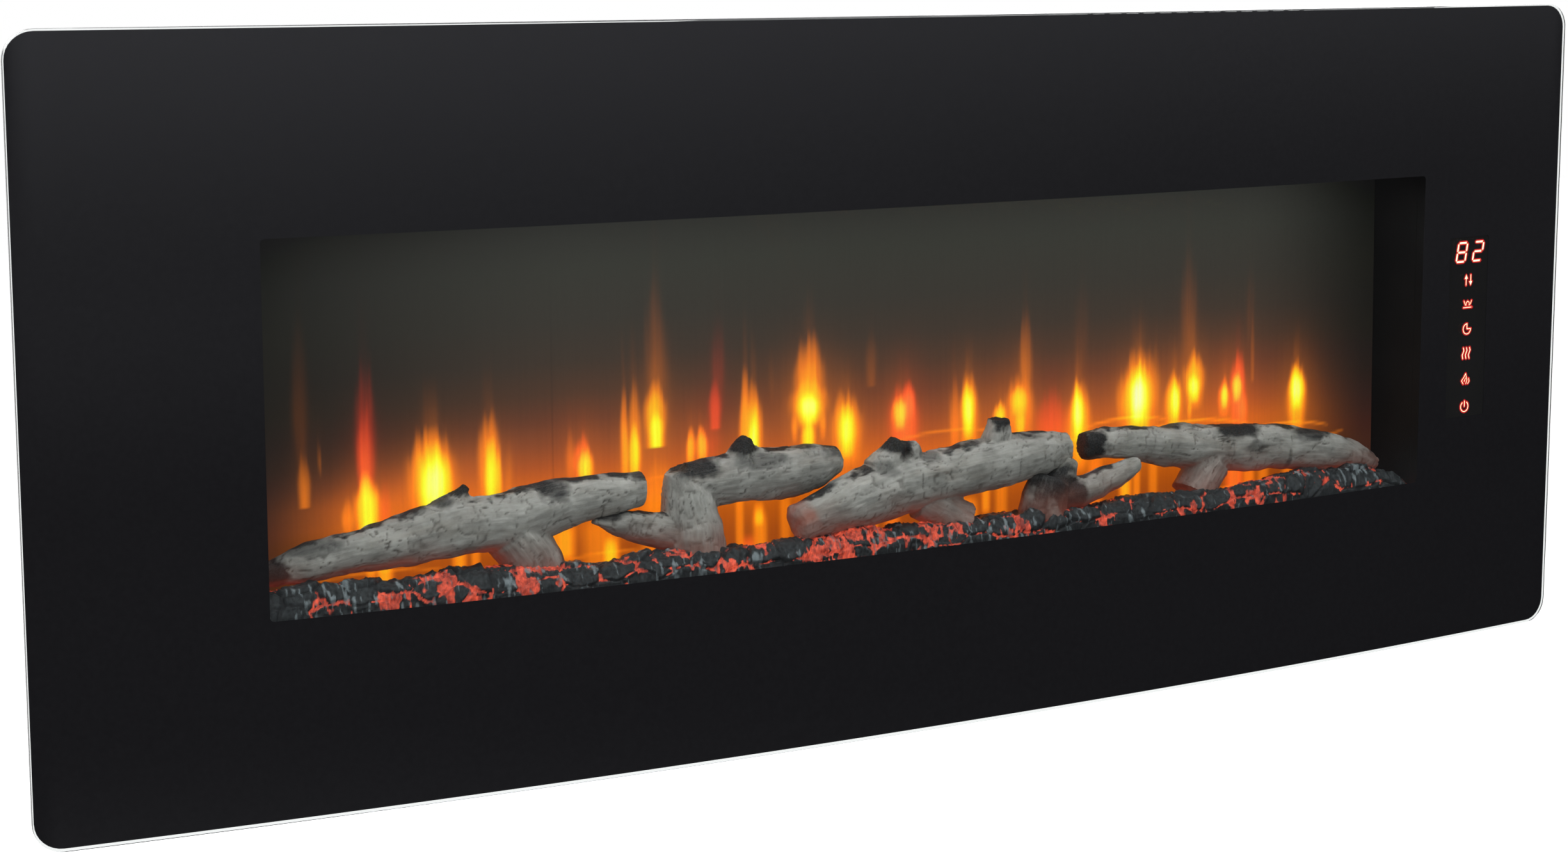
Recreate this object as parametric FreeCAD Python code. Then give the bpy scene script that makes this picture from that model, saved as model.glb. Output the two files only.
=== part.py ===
"""Wall-hung electric fireplace: a bowed black glass front, a log-and-ember firebox, a flame
projector behind a frosted screen, and a fan heater that blows down through the case bottom.

Millimetres, +Z up, the viewer on the -Y side and the wall on the plane Y = 0. Every function
works from the centre of the glass front; save() moves the shapes so that the origin is the
centre of the wall bracket's screw holes, on the wall.
"""
import FreeCAD, Part
import math
import os

V = FreeCAD.Vector

# ---- driving dimensions -------------------------------------------------------------------
GLASS_W = 1280.0            # glass front: width, height, thickness, corner radius
GLASS_H = 530.0
GLASS_T = 5.0
GLASS_CORNER = 20.0
GLASS_CROWN_Y = -150.0      # the glass stands this far from the wall in the middle
GLASS_SAG = 32.0            # and this much less at its ends

WINDOW_X = 484.0            # half width and half height of the clear window
WINDOW_Z = 127.0
WINDOW_CORNER = 3.0

CASE_X = 575.0              # half width and half height of the steel case
CASE_Z = 225.0
CASE_BACK_Y = -14.0
CASE_FRONT_Y = -98.0
SHEET = 1.2                 # thickness of the case's sheet steel

FLANGE_X = 588.0            # front plate and glass carrier, half width and half height
FLANGE_Z = 233.0

REVEAL_X = 485.5            # inner faces of the firebox
CEILING_Z = 128.5
FLOOR_Z = -139.0
REVEAL_REAR_Y = -116.0      # the carrier's window reveal ends here
SCREEN_Y = -65.0            # front face of the frosted flame screen
SCREEN_T = 3.0

BRACKET_Z = 150.0           # the bracket's screw holes above the glass centre
BRACKET_SCREWS_X = 400.0    # hole-to-hole distances and hole radius
BRACKET_SCREWS_Z = 32.0
BRACKET_HOLE_R = 3.25
BRACKET_T = 1.6
LIP_TOP_Z = 194.1           # top of the bracket's hooked lip
LIP_FRONT_Y = -10.0

SPINDLE_Y = -37.0           # axis of the flame spindle
SPINDLE_Z = -104.0
SPINDLE_R = 14.0
ROD_R = 2.5
MOTOR_SHAFT_R = 3.0
RUNNING_GAP = 0.06          # radial clearance of a shaft in its bush

BLOWER_Y = -52.0            # axis of the cross-flow blower
BLOWER_Z = -178.0
IMPELLER_R = 20.0
BLOWER_X = 150.0            # half length of the blower housing

LEGEND_X = 536.5            # centre line of the touch display
DIGITS_Z = 61.5
ICON_ROWS = {"arrows": 38.0, "embers": 18.0, "timer": -3.0, "heat": -23.5, "flame": -45.5, "power": -68.5}

GLAND_Y = -40.0             # cord gland on the right side of the case
GLAND_Z = -200.0
GLAND_SHANK = 7.0           # half width of its square shank, which fits a square hole
CORD_BORE_R = 3.75
SWITCH_Y = -56.0            # rocker switch on the right side of the case
SWITCH_Z = -172.0
ROCKER_PIVOT_X = 570.0
ROCKER_TILT = 8.0           # degrees each side of level

SCREW_R = 2.0
SCREW_HEAD_R = 3.5

# Radii of the bowed layers, measured from one vertical axis behind the wall.
GLASS_R = ((GLASS_W / 2) ** 2 + GLASS_SAG ** 2) / (2 * GLASS_SAG)
ARC_Y = GLASS_CROWN_Y + GLASS_R
MASK_R = GLASS_R - GLASS_T
MASK_T = 0.4
FILM_R = MASK_R - MASK_T
FILM_T = 0.3
CARRIER_R = FILM_R - 1.0

LOG_SEAT = 0.25             # glue line between the bed and the logs
# Each limb of a log is a list of stations: (x, y, z, radius).
LOGS = {
    "log_1": [
        [(-481, -93, -102, 8), (-455, -93, -97, 13), (-420, -92, -92, 15), (-380, -92, -88, 17.5),
         (-340, -92, -81.5, 20), (-300, -92, -82, 20.5), (-262, -92, -73, 16.5), (-230, -91, -70.5, 15),
         (-200, -90, -69, 12)],
        [(-300, -93, -90, 17), (-284, -95, -106, 17), (-278, -96, -121, 18)],
        [(-372, -92, -82, 9), (-355, -92, -70, 9), (-341, -92, -60, 6.5), (-332, -92, -51, 3)],
    ],
    "log_2": [
        [(-165, -88, -70, 17), (-140, -87, -69, 18), (-110, -86, -68, 18.5), (-80, -85, -68, 18),
         (-55, -85, -66, 15.5), (-36, -85, -62.5, 10)],
        [(-170, -90, -58, 12), (-163, -90, -84, 20), (-160, -92, -105, 23), (-160, -93, -122, 25)],
        [(-175, -92, -103, 14), (-200, -94, -97, 11.5), (-222, -96, -90, 8), (-242, -97, -86, 4)],
        [(-124, -87, -60, 12), (-120, -87, -50, 9), (-118, -87, -43, 6), (-117, -87, -39, 3)],
        [(-116, -87, -58, 11), (-103, -87, -53, 6)],
    ],
    "log_3": [
        [(-83, -105, -104, 14), (-60, -102, -99, 17), (-30, -99, -92, 20), (0, -97, -86, 22),
         (30, -96, -83, 21), (60, -95, -79.5, 19.5), (100, -95, -74.5, 19.5), (135, -94, -71.5, 17),
         (160, -93, -70.5, 11)],
        [(35, -97, -98, 13), (52, -98, -107, 12), (66, -99, -112, 10)],
        [(-8, -97, -74, 14), (2, -97, -62, 11), (8, -97, -53, 8)],
        [(16, -97, -62, 11), (24, -97, -58, 6)],
        [(96, -95, -58, 12), (97, -95, -43, 9)],
    ],
    "log_4": [
        [(140, -101, -94, 16), (134, -102, -108, 19), (131, -102, -122, 20)],
        [(150, -101, -105, 13), (175, -102, -102, 11.5), (200, -102, -94, 10.5), (221, -101, -88, 5.5)],
        [(146, -100, -100, 13), (159, -99, -80, 8)],
    ],
    "log_5": [
        [(179, -88, -71.5, 10.5), (200, -88, -71.5, 12.5), (225, -88, -73, 14.5), (260, -88, -78, 16),
         (300, -88, -84, 18.5), (330, -88, -86, 20), (365, -89, -88.5, 18), (400, -90, -93, 17.5),
         (430, -91, -99, 15.5), (455, -92, -106, 10.5), (468, -92, -110.5, 5)],
        [(300, -90, -96, 13), (277, -92, -99.5, 11.5), (254, -93, -100.5, 10)],
    ],
}


# ---- shape helpers ------------------------------------------------------------------------
def box(x0, x1, y0, y1, z0, z1):
    return Part.makeBox(x1 - x0, y1 - y0, z1 - z0, V(x0, y0, z0))


def cyl_x(radius, x0, x1, y, z):
    return Part.makeCylinder(radius, x1 - x0, V(x0, y, z), V(1, 0, 0))


def cyl_y(radius, y0, y1, x, z):
    return Part.makeCylinder(radius, y1 - y0, V(x, y0, z), V(0, 1, 0))


def cyl_z(radius, z0, z1, x, y):
    return Part.makeCylinder(radius, z1 - z0, V(x, y, z0), V(0, 0, 1))


def fuse(shapes):
    first = shapes[0]
    if len(shapes) == 1:
        return first
    return first.multiFuse(shapes[1:]).removeSplitter()


def group(shapes):
    """Separate solids that share one node."""
    return Part.makeCompound(shapes)


def plate(x0, x1, z0, z1, radius, y0=-200.0, y1=0.0):
    """A rounded rectangle in the XZ plane, extruded along Y."""
    block = box(x0, x1, y0, y1, z0, z1)
    corners = [e for e in block.Edges if abs(e.tangentAt(e.FirstParameter).y) > 0.99]
    return block.makeFillet(radius, corners)


def arc_point(radius, x):
    return V(x, ARC_Y - math.sqrt(radius ** 2 - x ** 2), 0)


def arc_edge(radius, x0, x1):
    middle = arc_point(radius, (x0 + x1) / 2)
    return Part.Arc(arc_point(radius, x0), middle, arc_point(radius, x1)).toShape()


def bowed(radius, thick, x0, x1, z0, z1):
    """A sheet with the glass front's bow, its front face at the given radius."""
    rear = radius - thick
    edges = [arc_edge(radius, x0, x1), Part.makeLine(arc_point(radius, x1), arc_point(rear, x1)),
             arc_edge(rear, x0, x1), Part.makeLine(arc_point(rear, x0), arc_point(radius, x0))]
    face = Part.Face(Part.Wire(Part.__sortEdges__(edges)))
    sheet = face.extrude(V(0, 0, z1 - z0))
    sheet.translate(V(0, 0, z0))
    return sheet


def bowed_block(radius, rear_y, x0, x1, z0, z1):
    """A block with a bowed front at the given radius and a flat rear."""
    left, right = arc_point(radius, x0), arc_point(radius, x1)
    edges = [arc_edge(radius, x0, x1), Part.makeLine(right, V(x1, rear_y, 0)),
             Part.makeLine(V(x1, rear_y, 0), V(x0, rear_y, 0)), Part.makeLine(V(x0, rear_y, 0), left)]
    face = Part.Face(Part.Wire(Part.__sortEdges__(edges)))
    block = face.extrude(V(0, 0, z1 - z0))
    block.translate(V(0, 0, z0))
    return block


def profile_x(points, x0, x1):
    """A closed YZ outline, given as (y, z) points, extruded along X."""
    corners = [V(x0, y, z) for y, z in points]
    face = Part.Face(Part.makePolygon(corners + [corners[0]]))
    return face.extrude(V(x1 - x0, 0, 0))


def prism_y(points, y0, y1):
    """A closed XZ outline, given as (x, z) points, extruded along Y."""
    corners = [V(x, y0, z) for x, z in points]
    face = Part.Face(Part.makePolygon(corners + [corners[0]]))
    return face.extrude(V(0, y1 - y0, 0))


def rounded_block(x0, x1, z0, z1, radius, facets):
    """A deep block along Y whose corners are rounded in flat facets, to trim thin bowed layers."""
    points = []
    for cx, cz, start in ((x1 - radius, z0 + radius, -90), (x1 - radius, z1 - radius, 0),
                          (x0 + radius, z1 - radius, 90), (x0 + radius, z0 + radius, 180)):
        for step in range(facets + 1):
            angle = math.radians(start + 90 * step / facets)
            points.append((cx + radius * math.cos(angle), cz + radius * math.sin(angle)))
    return prism_y(points, -200, 0)


def frame_y(half_x, half_z, width, y0, y1):
    """A rectangular frame in the XZ plane."""
    outer = box(-half_x, half_x, y0, y1, -half_z, half_z)
    return outer.cut(box(-half_x + width, half_x - width, y0 - 1, y1 + 1, -half_z + width, half_z - width))


def limb(stations):
    """A tapering limb lofted through circles that face along the line of their centres."""
    centres = [V(x, y, z) for x, y, z, _ in stations]
    wires = []
    for i, station in enumerate(stations):
        ahead = centres[min(i + 1, len(centres) - 1)]
        behind = centres[max(i - 1, 0)]
        circle = Part.makeCircle(station[3], centres[i], ahead - behind)
        wires.append(Part.Wire(circle))
    return Part.makeLoft(wires, True, True)


def tube(points, radius):
    """A round tube along straight runs joined by tangent arcs."""
    nodes = [V(*p) for p in points]
    edges = []
    start = nodes[0]
    for i in range(1, len(nodes) - 1):
        before, after = nodes[i] - nodes[i - 1], nodes[i + 1] - nodes[i]
        reach = 0.45 * min(before.Length, after.Length)
        before.normalize()
        after.normalize()
        enter, leave = nodes[i] - before * reach, nodes[i] + after * reach
        half_turn = before.getAngle(after) / 2
        bend = reach / math.tan(half_turn)
        inward = (after - before).normalize()
        middle = nodes[i] + inward * (bend / math.cos(half_turn) - bend)
        edges.append(Part.makeLine(start, enter))
        edges.append(Part.Arc(enter, middle, leave).toShape())
        start = leave
    edges.append(Part.makeLine(start, nodes[-1]))
    section = Part.Wire(Part.makeCircle(radius, nodes[0], nodes[1] - nodes[0]))
    return Part.Wire(edges).makePipeShell([section], True, False)


def screw_y(x, z, head_y, tip_y):
    """A pan-head screw along Y; its head's bearing face is at head_y."""
    away = -1.0 if tip_y > head_y else 1.0
    head = Part.makeCylinder(SCREW_HEAD_R, 2.0, V(x, head_y, z), V(0, away, 0))
    shank = Part.makeCylinder(SCREW_R, abs(tip_y - head_y), V(x, head_y, z), V(0, -away, 0))
    recess = box(x - 0.5, x + 0.5, head_y - 3, head_y + 3, z - 2, z + 2)
    slot = recess.common(Part.makeCylinder(2.2, 1.2, V(x, head_y + away * 0.8, z), V(0, away, 0)))
    return head.fuse(shank).cut(slot).removeSplitter()


# ---- wall bracket and hanging parts ---------------------------------------------------------
def wall_bracket():
    half = 240.0
    low, high = BRACKET_Z - 28, BRACKET_Z + 28
    back = plate(-half, half, low, high, 5, -BRACKET_T, 0)
    shelf = box(-half, half, LIP_FRONT_Y, 0, high - BRACKET_T, high)
    lip = box(-half, half, LIP_FRONT_Y, LIP_FRONT_Y + BRACKET_T, high - BRACKET_T, LIP_TOP_Z)
    body = fuse([back, box(-half, half, -BRACKET_T, 0, high - 6, high), shelf, lip])
    for sx in (-1, 1):
        for sz in (-1, 1):
            x, z = sx * BRACKET_SCREWS_X / 2, BRACKET_Z + sz * BRACKET_SCREWS_Z / 2
            body = body.cut(cyl_y(BRACKET_HOLE_R, -5, 5, x, z))
    return body


def hanger_rail():
    """A Z-shaped rail on the case back; its rear leg drops behind the bracket's lip."""
    half = 230.0
    leg_front, leg_rear = -6.0, -4.4
    under = LIP_TOP_Z + 0.3
    flat = box(-half, half, CASE_BACK_Y, CASE_BACK_Y + BRACKET_T, under, under + 22)
    shelf = box(-half, half, CASE_BACK_Y, leg_rear, under, under + BRACKET_T)
    hook = box(-half, half, leg_front, leg_rear, LIP_TOP_Z - 14, under + BRACKET_T)
    return fuse([flat, shelf, hook])


def wall_bumpers():
    """Two rubber pads that keep the case upright against the wall."""
    pads = []
    for sx in (-1, 1):
        pad = cyl_y(14, CASE_BACK_Y, 0, sx * 470, -185)
        pad = pad.cut(cyl_y(6, -5, 1, sx * 470, -185))
        pads.append(pad)
    return group(pads)


# ---- steel case -----------------------------------------------------------------------------
def bottom_slots():
    """Air inlet slots in the case bottom, either side of the heater."""
    columns = [-460 + 11 * i for i in range(25)] + [430 + 11 * i for i in range(11)]
    return [box(x, x + 5, -80, -34, -CASE_Z - 5, -CASE_Z + 5) for x in columns]


def top_slots():
    """Vent slots in the case top."""
    slots = []
    for side in (-1, 1):
        for i in range(20):
            x = side * (125 + 16 * i)
            slots.append(box(x - 2.5, x + 2.5, -72, -34, CASE_Z - 5, CASE_Z + 5))
    return slots


def case_screw_spots():
    rows = [(x, sz * 212.0) for sz in (-1, 1) for x in (-510, -255, 0, 255, 510)]
    return rows + [(sx * 566.5, z) for sx in (-1, 1) for z in (-130, 0, 130)]


def panel_screw_spots():
    rows = [(x, sz * 229.0) for sz in (-1, 1) for x in range(-540, 541, 180)]
    return rows + [(sx * 581.5, z) for sx in (-1, 1) for z in (-150, 0, 150)]


def gland_shank(x0, x1):
    return box(x0, x1, GLAND_Y - GLAND_SHANK, GLAND_Y + GLAND_SHANK, GLAND_Z - GLAND_SHANK, GLAND_Z + GLAND_SHANK)


def rear_case():
    outer = box(-CASE_X, CASE_X, CASE_FRONT_Y, CASE_BACK_Y, -CASE_Z, CASE_Z)
    bends = [e for e in outer.Edges if abs(e.tangentAt(e.FirstParameter).y) > 0.99]
    outer = outer.makeFillet(3.0, bends)
    inside = box(-CASE_X + SHEET, CASE_X - SHEET, CASE_FRONT_Y - 1, CASE_BACK_Y - SHEET,
                 -CASE_Z + SHEET, CASE_Z - SHEET)
    shell = outer.cut(inside)
    rim = frame_y(CASE_X - SHEET, CASE_Z - SHEET, 20 - SHEET, CASE_FRONT_Y, CASE_FRONT_Y + SHEET)
    cuts = bottom_slots() + top_slots()
    cuts.append(box(-140, 140, -82, -42, -CASE_Z - 5, -CASE_Z + 5))
    cuts.append(box(570, 580, SWITCH_Y - 12, SWITCH_Y + 12, SWITCH_Z - 6.8, SWITCH_Z + 6.8))
    cuts.append(gland_shank(570, 580))
    cuts += [cyl_y(SCREW_R, CASE_FRONT_Y - 1, CASE_FRONT_Y + 5, x, z) for x, z in case_screw_spots()]
    return shell.fuse(rim).removeSplitter().cut(cuts)


def front_plate():
    """Flat steel plate between the case and the glass carrier."""
    sheet = plate(-FLANGE_X, FLANGE_X, -FLANGE_Z, FLANGE_Z, 12, CASE_FRONT_Y - SHEET, CASE_FRONT_Y)
    cuts = [box(-487, 487, -110, -90, -140.5, 130.0)]
    cuts += [cyl_y(2.2, -110, -90, x, z) for x, z in case_screw_spots() + panel_screw_spots()]
    cuts.append(cyl_y(9.0, -110, -90, 531, -113))
    return sheet.cut(cuts)


def case_screws():
    head_y = CASE_FRONT_Y - SHEET
    return group([screw_y(x, z, head_y, head_y + 6) for x, z in case_screw_spots()])


def panel_screws():
    return group([screw_y(x, z, CASE_FRONT_Y, CASE_FRONT_Y - 5) for x, z in panel_screw_spots()])


# ---- glass front ----------------------------------------------------------------------------
def front_glass():
    half_x, half_z = GLASS_W / 2, GLASS_H / 2
    slab = bowed(GLASS_R, GLASS_T, -half_x, half_x, -half_z, half_z)
    corners = [edge for edge in slab.Edges if abs(edge.Length - GLASS_T) < 0.1]
    return slab.makeFillet(GLASS_CORNER, corners)


def glass_mask():
    """Black print on the back of the glass, open at the window and at the display."""
    half_x, half_z = GLASS_W / 2 - 2, GLASS_H / 2 - 2
    layer = bowed(MASK_R, MASK_T, -half_x, half_x, -half_z, half_z)
    layer = layer.common(rounded_block(-half_x, half_x, -half_z, half_z, GLASS_CORNER - 2, 8))
    window = rounded_block(-WINDOW_X, WINDOW_X, -WINDOW_Z, WINDOW_Z, WINDOW_CORNER, 4)
    display = rounded_block(LEGEND_X - 22, LEGEND_X + 22, -77, 74, 2, 4)
    return layer.cut([window, display])


def display_film():
    """Smoked film behind the display's opening in the mask."""
    return bowed(FILM_R, FILM_T, LEGEND_X - 25.5, LEGEND_X + 25.5, -84, 80)


def bond_tape():
    """Two rings of black foam tape that hold the glass to its carrier."""
    layer = bowed(FILM_R, 1.0, -586, 586, -231, 231)
    outer = layer.cut(box(-572, 572, -200, 0, -217, 217))
    inner = layer.common(box(-502, 502, -200, 0, -155, 145))
    inner = inner.cut(box(-488, 488, -200, 0, -143, 132))
    return group([outer, inner])


def glass_carrier():
    """Steel pan behind the glass: bowed face, side walls, window reveal and a rear rim."""
    rear_y = CASE_FRONT_Y - SHEET
    face = bowed(CARRIER_R, SHEET, -FLANGE_X, FLANGE_X, -FLANGE_Z, FLANGE_Z)
    walls = bowed_block(CARRIER_R, rear_y, -FLANGE_X, FLANGE_X, -FLANGE_Z, FLANGE_Z)
    walls = walls.cut(box(-FLANGE_X + SHEET, FLANGE_X - SHEET, -200, 0, -FLANGE_Z + SHEET, FLANGE_Z - SHEET))
    reveal = bowed_block(CARRIER_R, REVEAL_REAR_Y, -REVEAL_X - SHEET, REVEAL_X + SHEET, FLOOR_Z - 2,
                         CEILING_Z + SHEET)
    reveal = reveal.cut(box(-REVEAL_X, REVEAL_X, -200, 0, FLOOR_Z - 5, CEILING_Z))
    rim = frame_y(FLANGE_X, FLANGE_Z, 16, rear_y - SHEET, rear_y)
    pan = face.cut(box(-REVEAL_X, REVEAL_X, -200, 0, FLOOR_Z - 2, CEILING_Z))
    pan = fuse([pan, walls, reveal, rim])
    cuts = [box(LEGEND_X - 23.5, LEGEND_X + 23.5, -130, -110, -82, 78)]
    cuts += [cyl_y(SCREW_R, -110, -90, x, z) for x, z in panel_screw_spots()]
    return pan.cut(cuts)


# ---- touch display --------------------------------------------------------------------------
def segment(cx, cz, length, upright):
    """One bar of a seven-segment digit, a hexagon with pointed ends."""
    half, thick = length / 2, 0.95
    outline = [(-half, 0), (-half + thick, thick), (half - thick, thick), (half, 0),
               (half - thick, -thick), (-half + thick, -thick)]
    if upright:
        outline = [(b, a) for a, b in outline]
    return [(cx + a, cz + b) for a, b in outline]


def digit(cx, cz, lit):
    """A slanted seven-segment digit; lit names its bars a to g."""
    wide, tall, slant = 10.0, 15.6, 0.17
    bars = {"a": (0, tall / 2, False), "g": (0, 0, False), "d": (0, -tall / 2, False),
            "f": (-wide / 2, tall / 4, True), "b": (wide / 2, tall / 4, True),
            "e": (-wide / 2, -tall / 4, True), "c": (wide / 2, -tall / 4, True)}
    solids = []
    for name in lit:
        bx, bz, upright = bars[name]
        length = tall / 2 - 0.5 if upright else wide - 0.5
        outline = [(cx + x + slant * z, cz + z) for x, z in segment(bx, bz, length, upright)]
        solids.append(prism_y(outline, -140, -110))
    return solids


def ring_icon(cx, cz, radius, width, gap_from, gap_to):
    """A ring in the XZ plane with a gap between two angles in degrees."""
    ring = cyl_y(radius, -140, -110, cx, cz).cut(cyl_y(radius - width, -145, -105, cx, cz))
    far = radius * 2
    a0, a1 = math.radians(gap_from), math.radians(gap_to)
    wedge = prism_y([(cx, cz), (cx + far * math.cos(a0), cz + far * math.sin(a0)),
                     (cx + far * math.cos((a0 + a1) / 2), cz + far * math.sin((a0 + a1) / 2)),
                     (cx + far * math.cos(a1), cz + far * math.sin(a1))], -145, -105)
    return ring.cut(wedge)


def stroke(points, width):
    """A line of the given width through (x, z) points, with round joints."""
    pieces = [cyl_y(width / 2, -140, -110, x, z) for x, z in points]
    for (xa, za), (xb, zb) in zip(points, points[1:]):
        run = math.hypot(xb - xa, zb - za)
        ox, oz = -(zb - za) / run * width / 2, (xb - xa) / run * width / 2
        pieces.append(prism_y([(xa + ox, za + oz), (xb + ox, zb + oz), (xb - ox, zb - oz),
                               (xa - ox, za - oz)], -140, -110))
    return fuse(pieces)


def arrow_icons(z):
    x = LEGEND_X
    up = stroke([(x - 2.6, z - 4.2), (x - 2.6, z + 2)], 1.0)
    up_head = prism_y([(x - 4.6, z + 1), (x - 0.6, z + 1), (x - 2.6, z + 4.8)], -140, -110)
    down = stroke([(x + 2.6, z + 4.2), (x + 2.6, z - 2)], 1.0)
    down_head = prism_y([(x + 4.6, z - 1), (x + 0.6, z - 1), (x + 2.6, z - 4.8)], -140, -110)
    return [fuse([up, up_head]), fuse([down, down_head])]


def ember_icon(z):
    x = LEGEND_X
    line = stroke([(x - 4.8, z - 3), (x + 4.8, z - 3)], 1.0)
    left = stroke([(x - 4.4, z + 2.6), (x - 2.6, z - 1)], 0.9)
    right = stroke([(x + 4.4, z + 2.6), (x + 2.6, z - 1)], 0.9)
    bed = stroke([(x - 1.6, z - 1.2), (x - 1.8, z + 0.9), (x, z + 2.4), (x + 1.8, z + 0.9), (x + 1.6, z - 1.2)], 0.9)
    return [line, left, right, bed]


def timer_icon(z):
    x = LEGEND_X
    hands = stroke([(x, z + 4.2), (x, z), (x + 4.4, z)], 1.0)
    return [fuse([ring_icon(x, z, 4.8, 1.0, 5, 82), hands])]


def heat_icon(z):
    waves = []
    for i in (-1, 0, 1):
        x = LEGEND_X + i * 3.6
        waves.append(stroke([(x + 0.3, z + 4.6), (x + 1, z + 2.4), (x - 0.9, z - 1.6), (x, z - 4.4)], 1.1))
    return waves


def flame_icon(z):
    x = LEGEND_X
    tall = stroke([(x - 2.2, z - 3.8), (x - 4.3, z - 1), (x - 2, z + 1.4), (x + 0.4, z + 4.8),
                   (x + 2, z - 0.6), (x + 0.8, z - 3.8)], 0.9)
    inner = stroke([(x - 1.2, z - 1.8), (x + 0.2, z + 1)], 0.9)
    small = stroke([(x + 3, z - 3.8), (x + 4.6, z - 2), (x + 3.9, z + 0.6)], 0.9)
    return [tall, inner, small]


def power_icon(z):
    x = LEGEND_X
    return [ring_icon(x, z, 4.8, 1.1, 58, 122), stroke([(x, z + 4.7), (x, z + 0.2)], 1.1)]


def display_legends():
    """Translucent digit bars and key symbols that lie in the mask's display opening."""
    solids = digit(LEGEND_X - 8.6, DIGITS_Z, "abcdefg") + digit(LEGEND_X + 10.2, DIGITS_Z, "abged")
    solids += arrow_icons(ICON_ROWS["arrows"]) + ember_icon(ICON_ROWS["embers"])
    solids += timer_icon(ICON_ROWS["timer"]) + heat_icon(ICON_ROWS["heat"])
    solids += flame_icon(ICON_ROWS["flame"]) + power_icon(ICON_ROWS["power"])
    layer = bowed(MASK_R - 0.1, MASK_T - 0.1, LEGEND_X - 21.5, LEGEND_X + 21.5, -76, 73)
    return group([layer.common(solid) for solid in solids])


BOARD_Y = -113.0            # front face of the touch board


def touch_board():
    board = plate(LEGEND_X - 25.5, LEGEND_X + 25.5, -88, 80, 2, BOARD_Y, BOARD_Y + 1.6)
    chip = box(LEGEND_X - 6, LEGEND_X + 6, BOARD_Y + 1.6, BOARD_Y + 3, -20, -8)
    socket = box(LEGEND_X - 12, LEGEND_X + 1, BOARD_Y + 1.6, BOARD_Y + 7, -86, -79)
    posts = [cyl_y(2.2, -118.0, BOARD_Y, LEGEND_X + 24.6 * sx, z) for sx in (-1,) for z in (-84, 76)]
    return fuse([board, chip, socket] + posts)


def digit_display():
    """Two-digit light module on the touch board."""
    return box(LEGEND_X - 18.5, LEGEND_X + 20.5, -119.4, BOARD_Y, 50, 73)


def touch_springs():
    """Sensing springs between the board and the film, one behind each key."""
    springs = []
    for z in ICON_ROWS.values():
        coil = cyl_y(4.0, -120.6, BOARD_Y, LEGEND_X, z)
        springs.append(coil.cut(cyl_y(3.0, -130, BOARD_Y, LEGEND_X, z)))
    return group(springs)


def display_harness():
    """Lead from the touch board, through the front plate, to the control board."""
    x = LEGEND_X - 5.5
    route = [(x, -108.7, -86), (x, -108.7, -101), (x, -88, -124), (x - 2, -76, -152), (x - 22, -72, -176),
             (x - 60, -70, -190), (x - 103, -62, -206)]
    return tube(route, 2.0)


# ---- firebox --------------------------------------------------------------------------------
def firebox_side(sign):
    y0, y1 = REVEAL_REAR_Y + 0.3, -60.0
    lo, hi = sorted((sign * REVEAL_X, sign * (REVEAL_X + SHEET)))
    wall = box(lo, hi, y0, y1, FLOOR_Z, CEILING_Z)
    lo, hi = sorted((sign * REVEAL_X, sign * (REVEAL_X + 13)))
    flange = box(lo, hi, CASE_FRONT_Y, CASE_FRONT_Y + SHEET, FLOOR_Z, CEILING_Z)
    inside = box(-REVEAL_X, REVEAL_X, -200, 0, -300, 300)
    return fuse([wall, flange]).cut(inside)


def firebox_ceiling():
    return box(-REVEAL_X + 0.3, REVEAL_X - 0.3, REVEAL_REAR_Y + 0.3, CASE_BACK_Y - SHEET - 0.4,
               CEILING_Z, CEILING_Z + SHEET)


def firebox_floor():
    """One sheet from the back of the glass to the case back."""
    half = REVEAL_X - 0.3
    return bowed_block(CARRIER_R - 0.2, CASE_BACK_Y - SHEET - 0.4, -half, half, FLOOR_Z - SHEET, FLOOR_Z)


def flame_screen():
    return box(-REVEAL_X + 0.5, REVEAL_X - 0.5, SCREEN_Y, SCREEN_Y + SCREEN_T, FLOOR_Z + 1, CEILING_Z - 1)


def screen_rails():
    """A channel along the screen's bottom edge and another along its top."""
    half = REVEAL_X - 0.5
    rear = SCREEN_Y + SCREEN_T
    rails = []
    for z0, z1, base in ((FLOOR_Z, FLOOR_Z + 8, FLOOR_Z), (CEILING_Z - 5, CEILING_Z, CEILING_Z - 1)):
        channel = box(-half, half, SCREEN_Y - 1.2, rear + 1.2, z0, z1)
        groove = box(-half - 1, half + 1, SCREEN_Y - 0.2, rear + 0.2, z0 - 1, z1 + 1)
        web = box(-half, half, SCREEN_Y - 1.2, rear + 1.2, base, base + 1)
        rails.append(fuse([channel.cut(groove), web]))
    return group(rails)


def ember_tray():
    half = REVEAL_X - 1.0
    base = box(-half, half, -125.6, -67.2, FLOOR_Z, FLOOR_Z + 0.8)
    front = box(-half, half, -125.6, -124.8, FLOOR_Z, FLOOR_Z + 5)
    rear = box(-half, half, -68.0, -67.2, FLOOR_Z, FLOOR_Z + 5)
    return fuse([base, front, rear])


def ember_bed():
    """Hollow moulding that stands over the ember lights; its crest runs under the logs."""
    half = REVEAL_X - 2.0
    foot = FLOOR_Z + 0.8
    outline = [(-124.6, foot), (-124.6, -128), (-120, -118), (-112, -113), (-103, -112.5), (-93, -116),
               (-80, -122.5), (-68.4, -129.5), (-68.4, foot)]
    bed = profile_x(outline, -half, half)
    return bed.cut(box(-half + 3, half - 3, -114, -80, foot - 1, -126))


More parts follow.
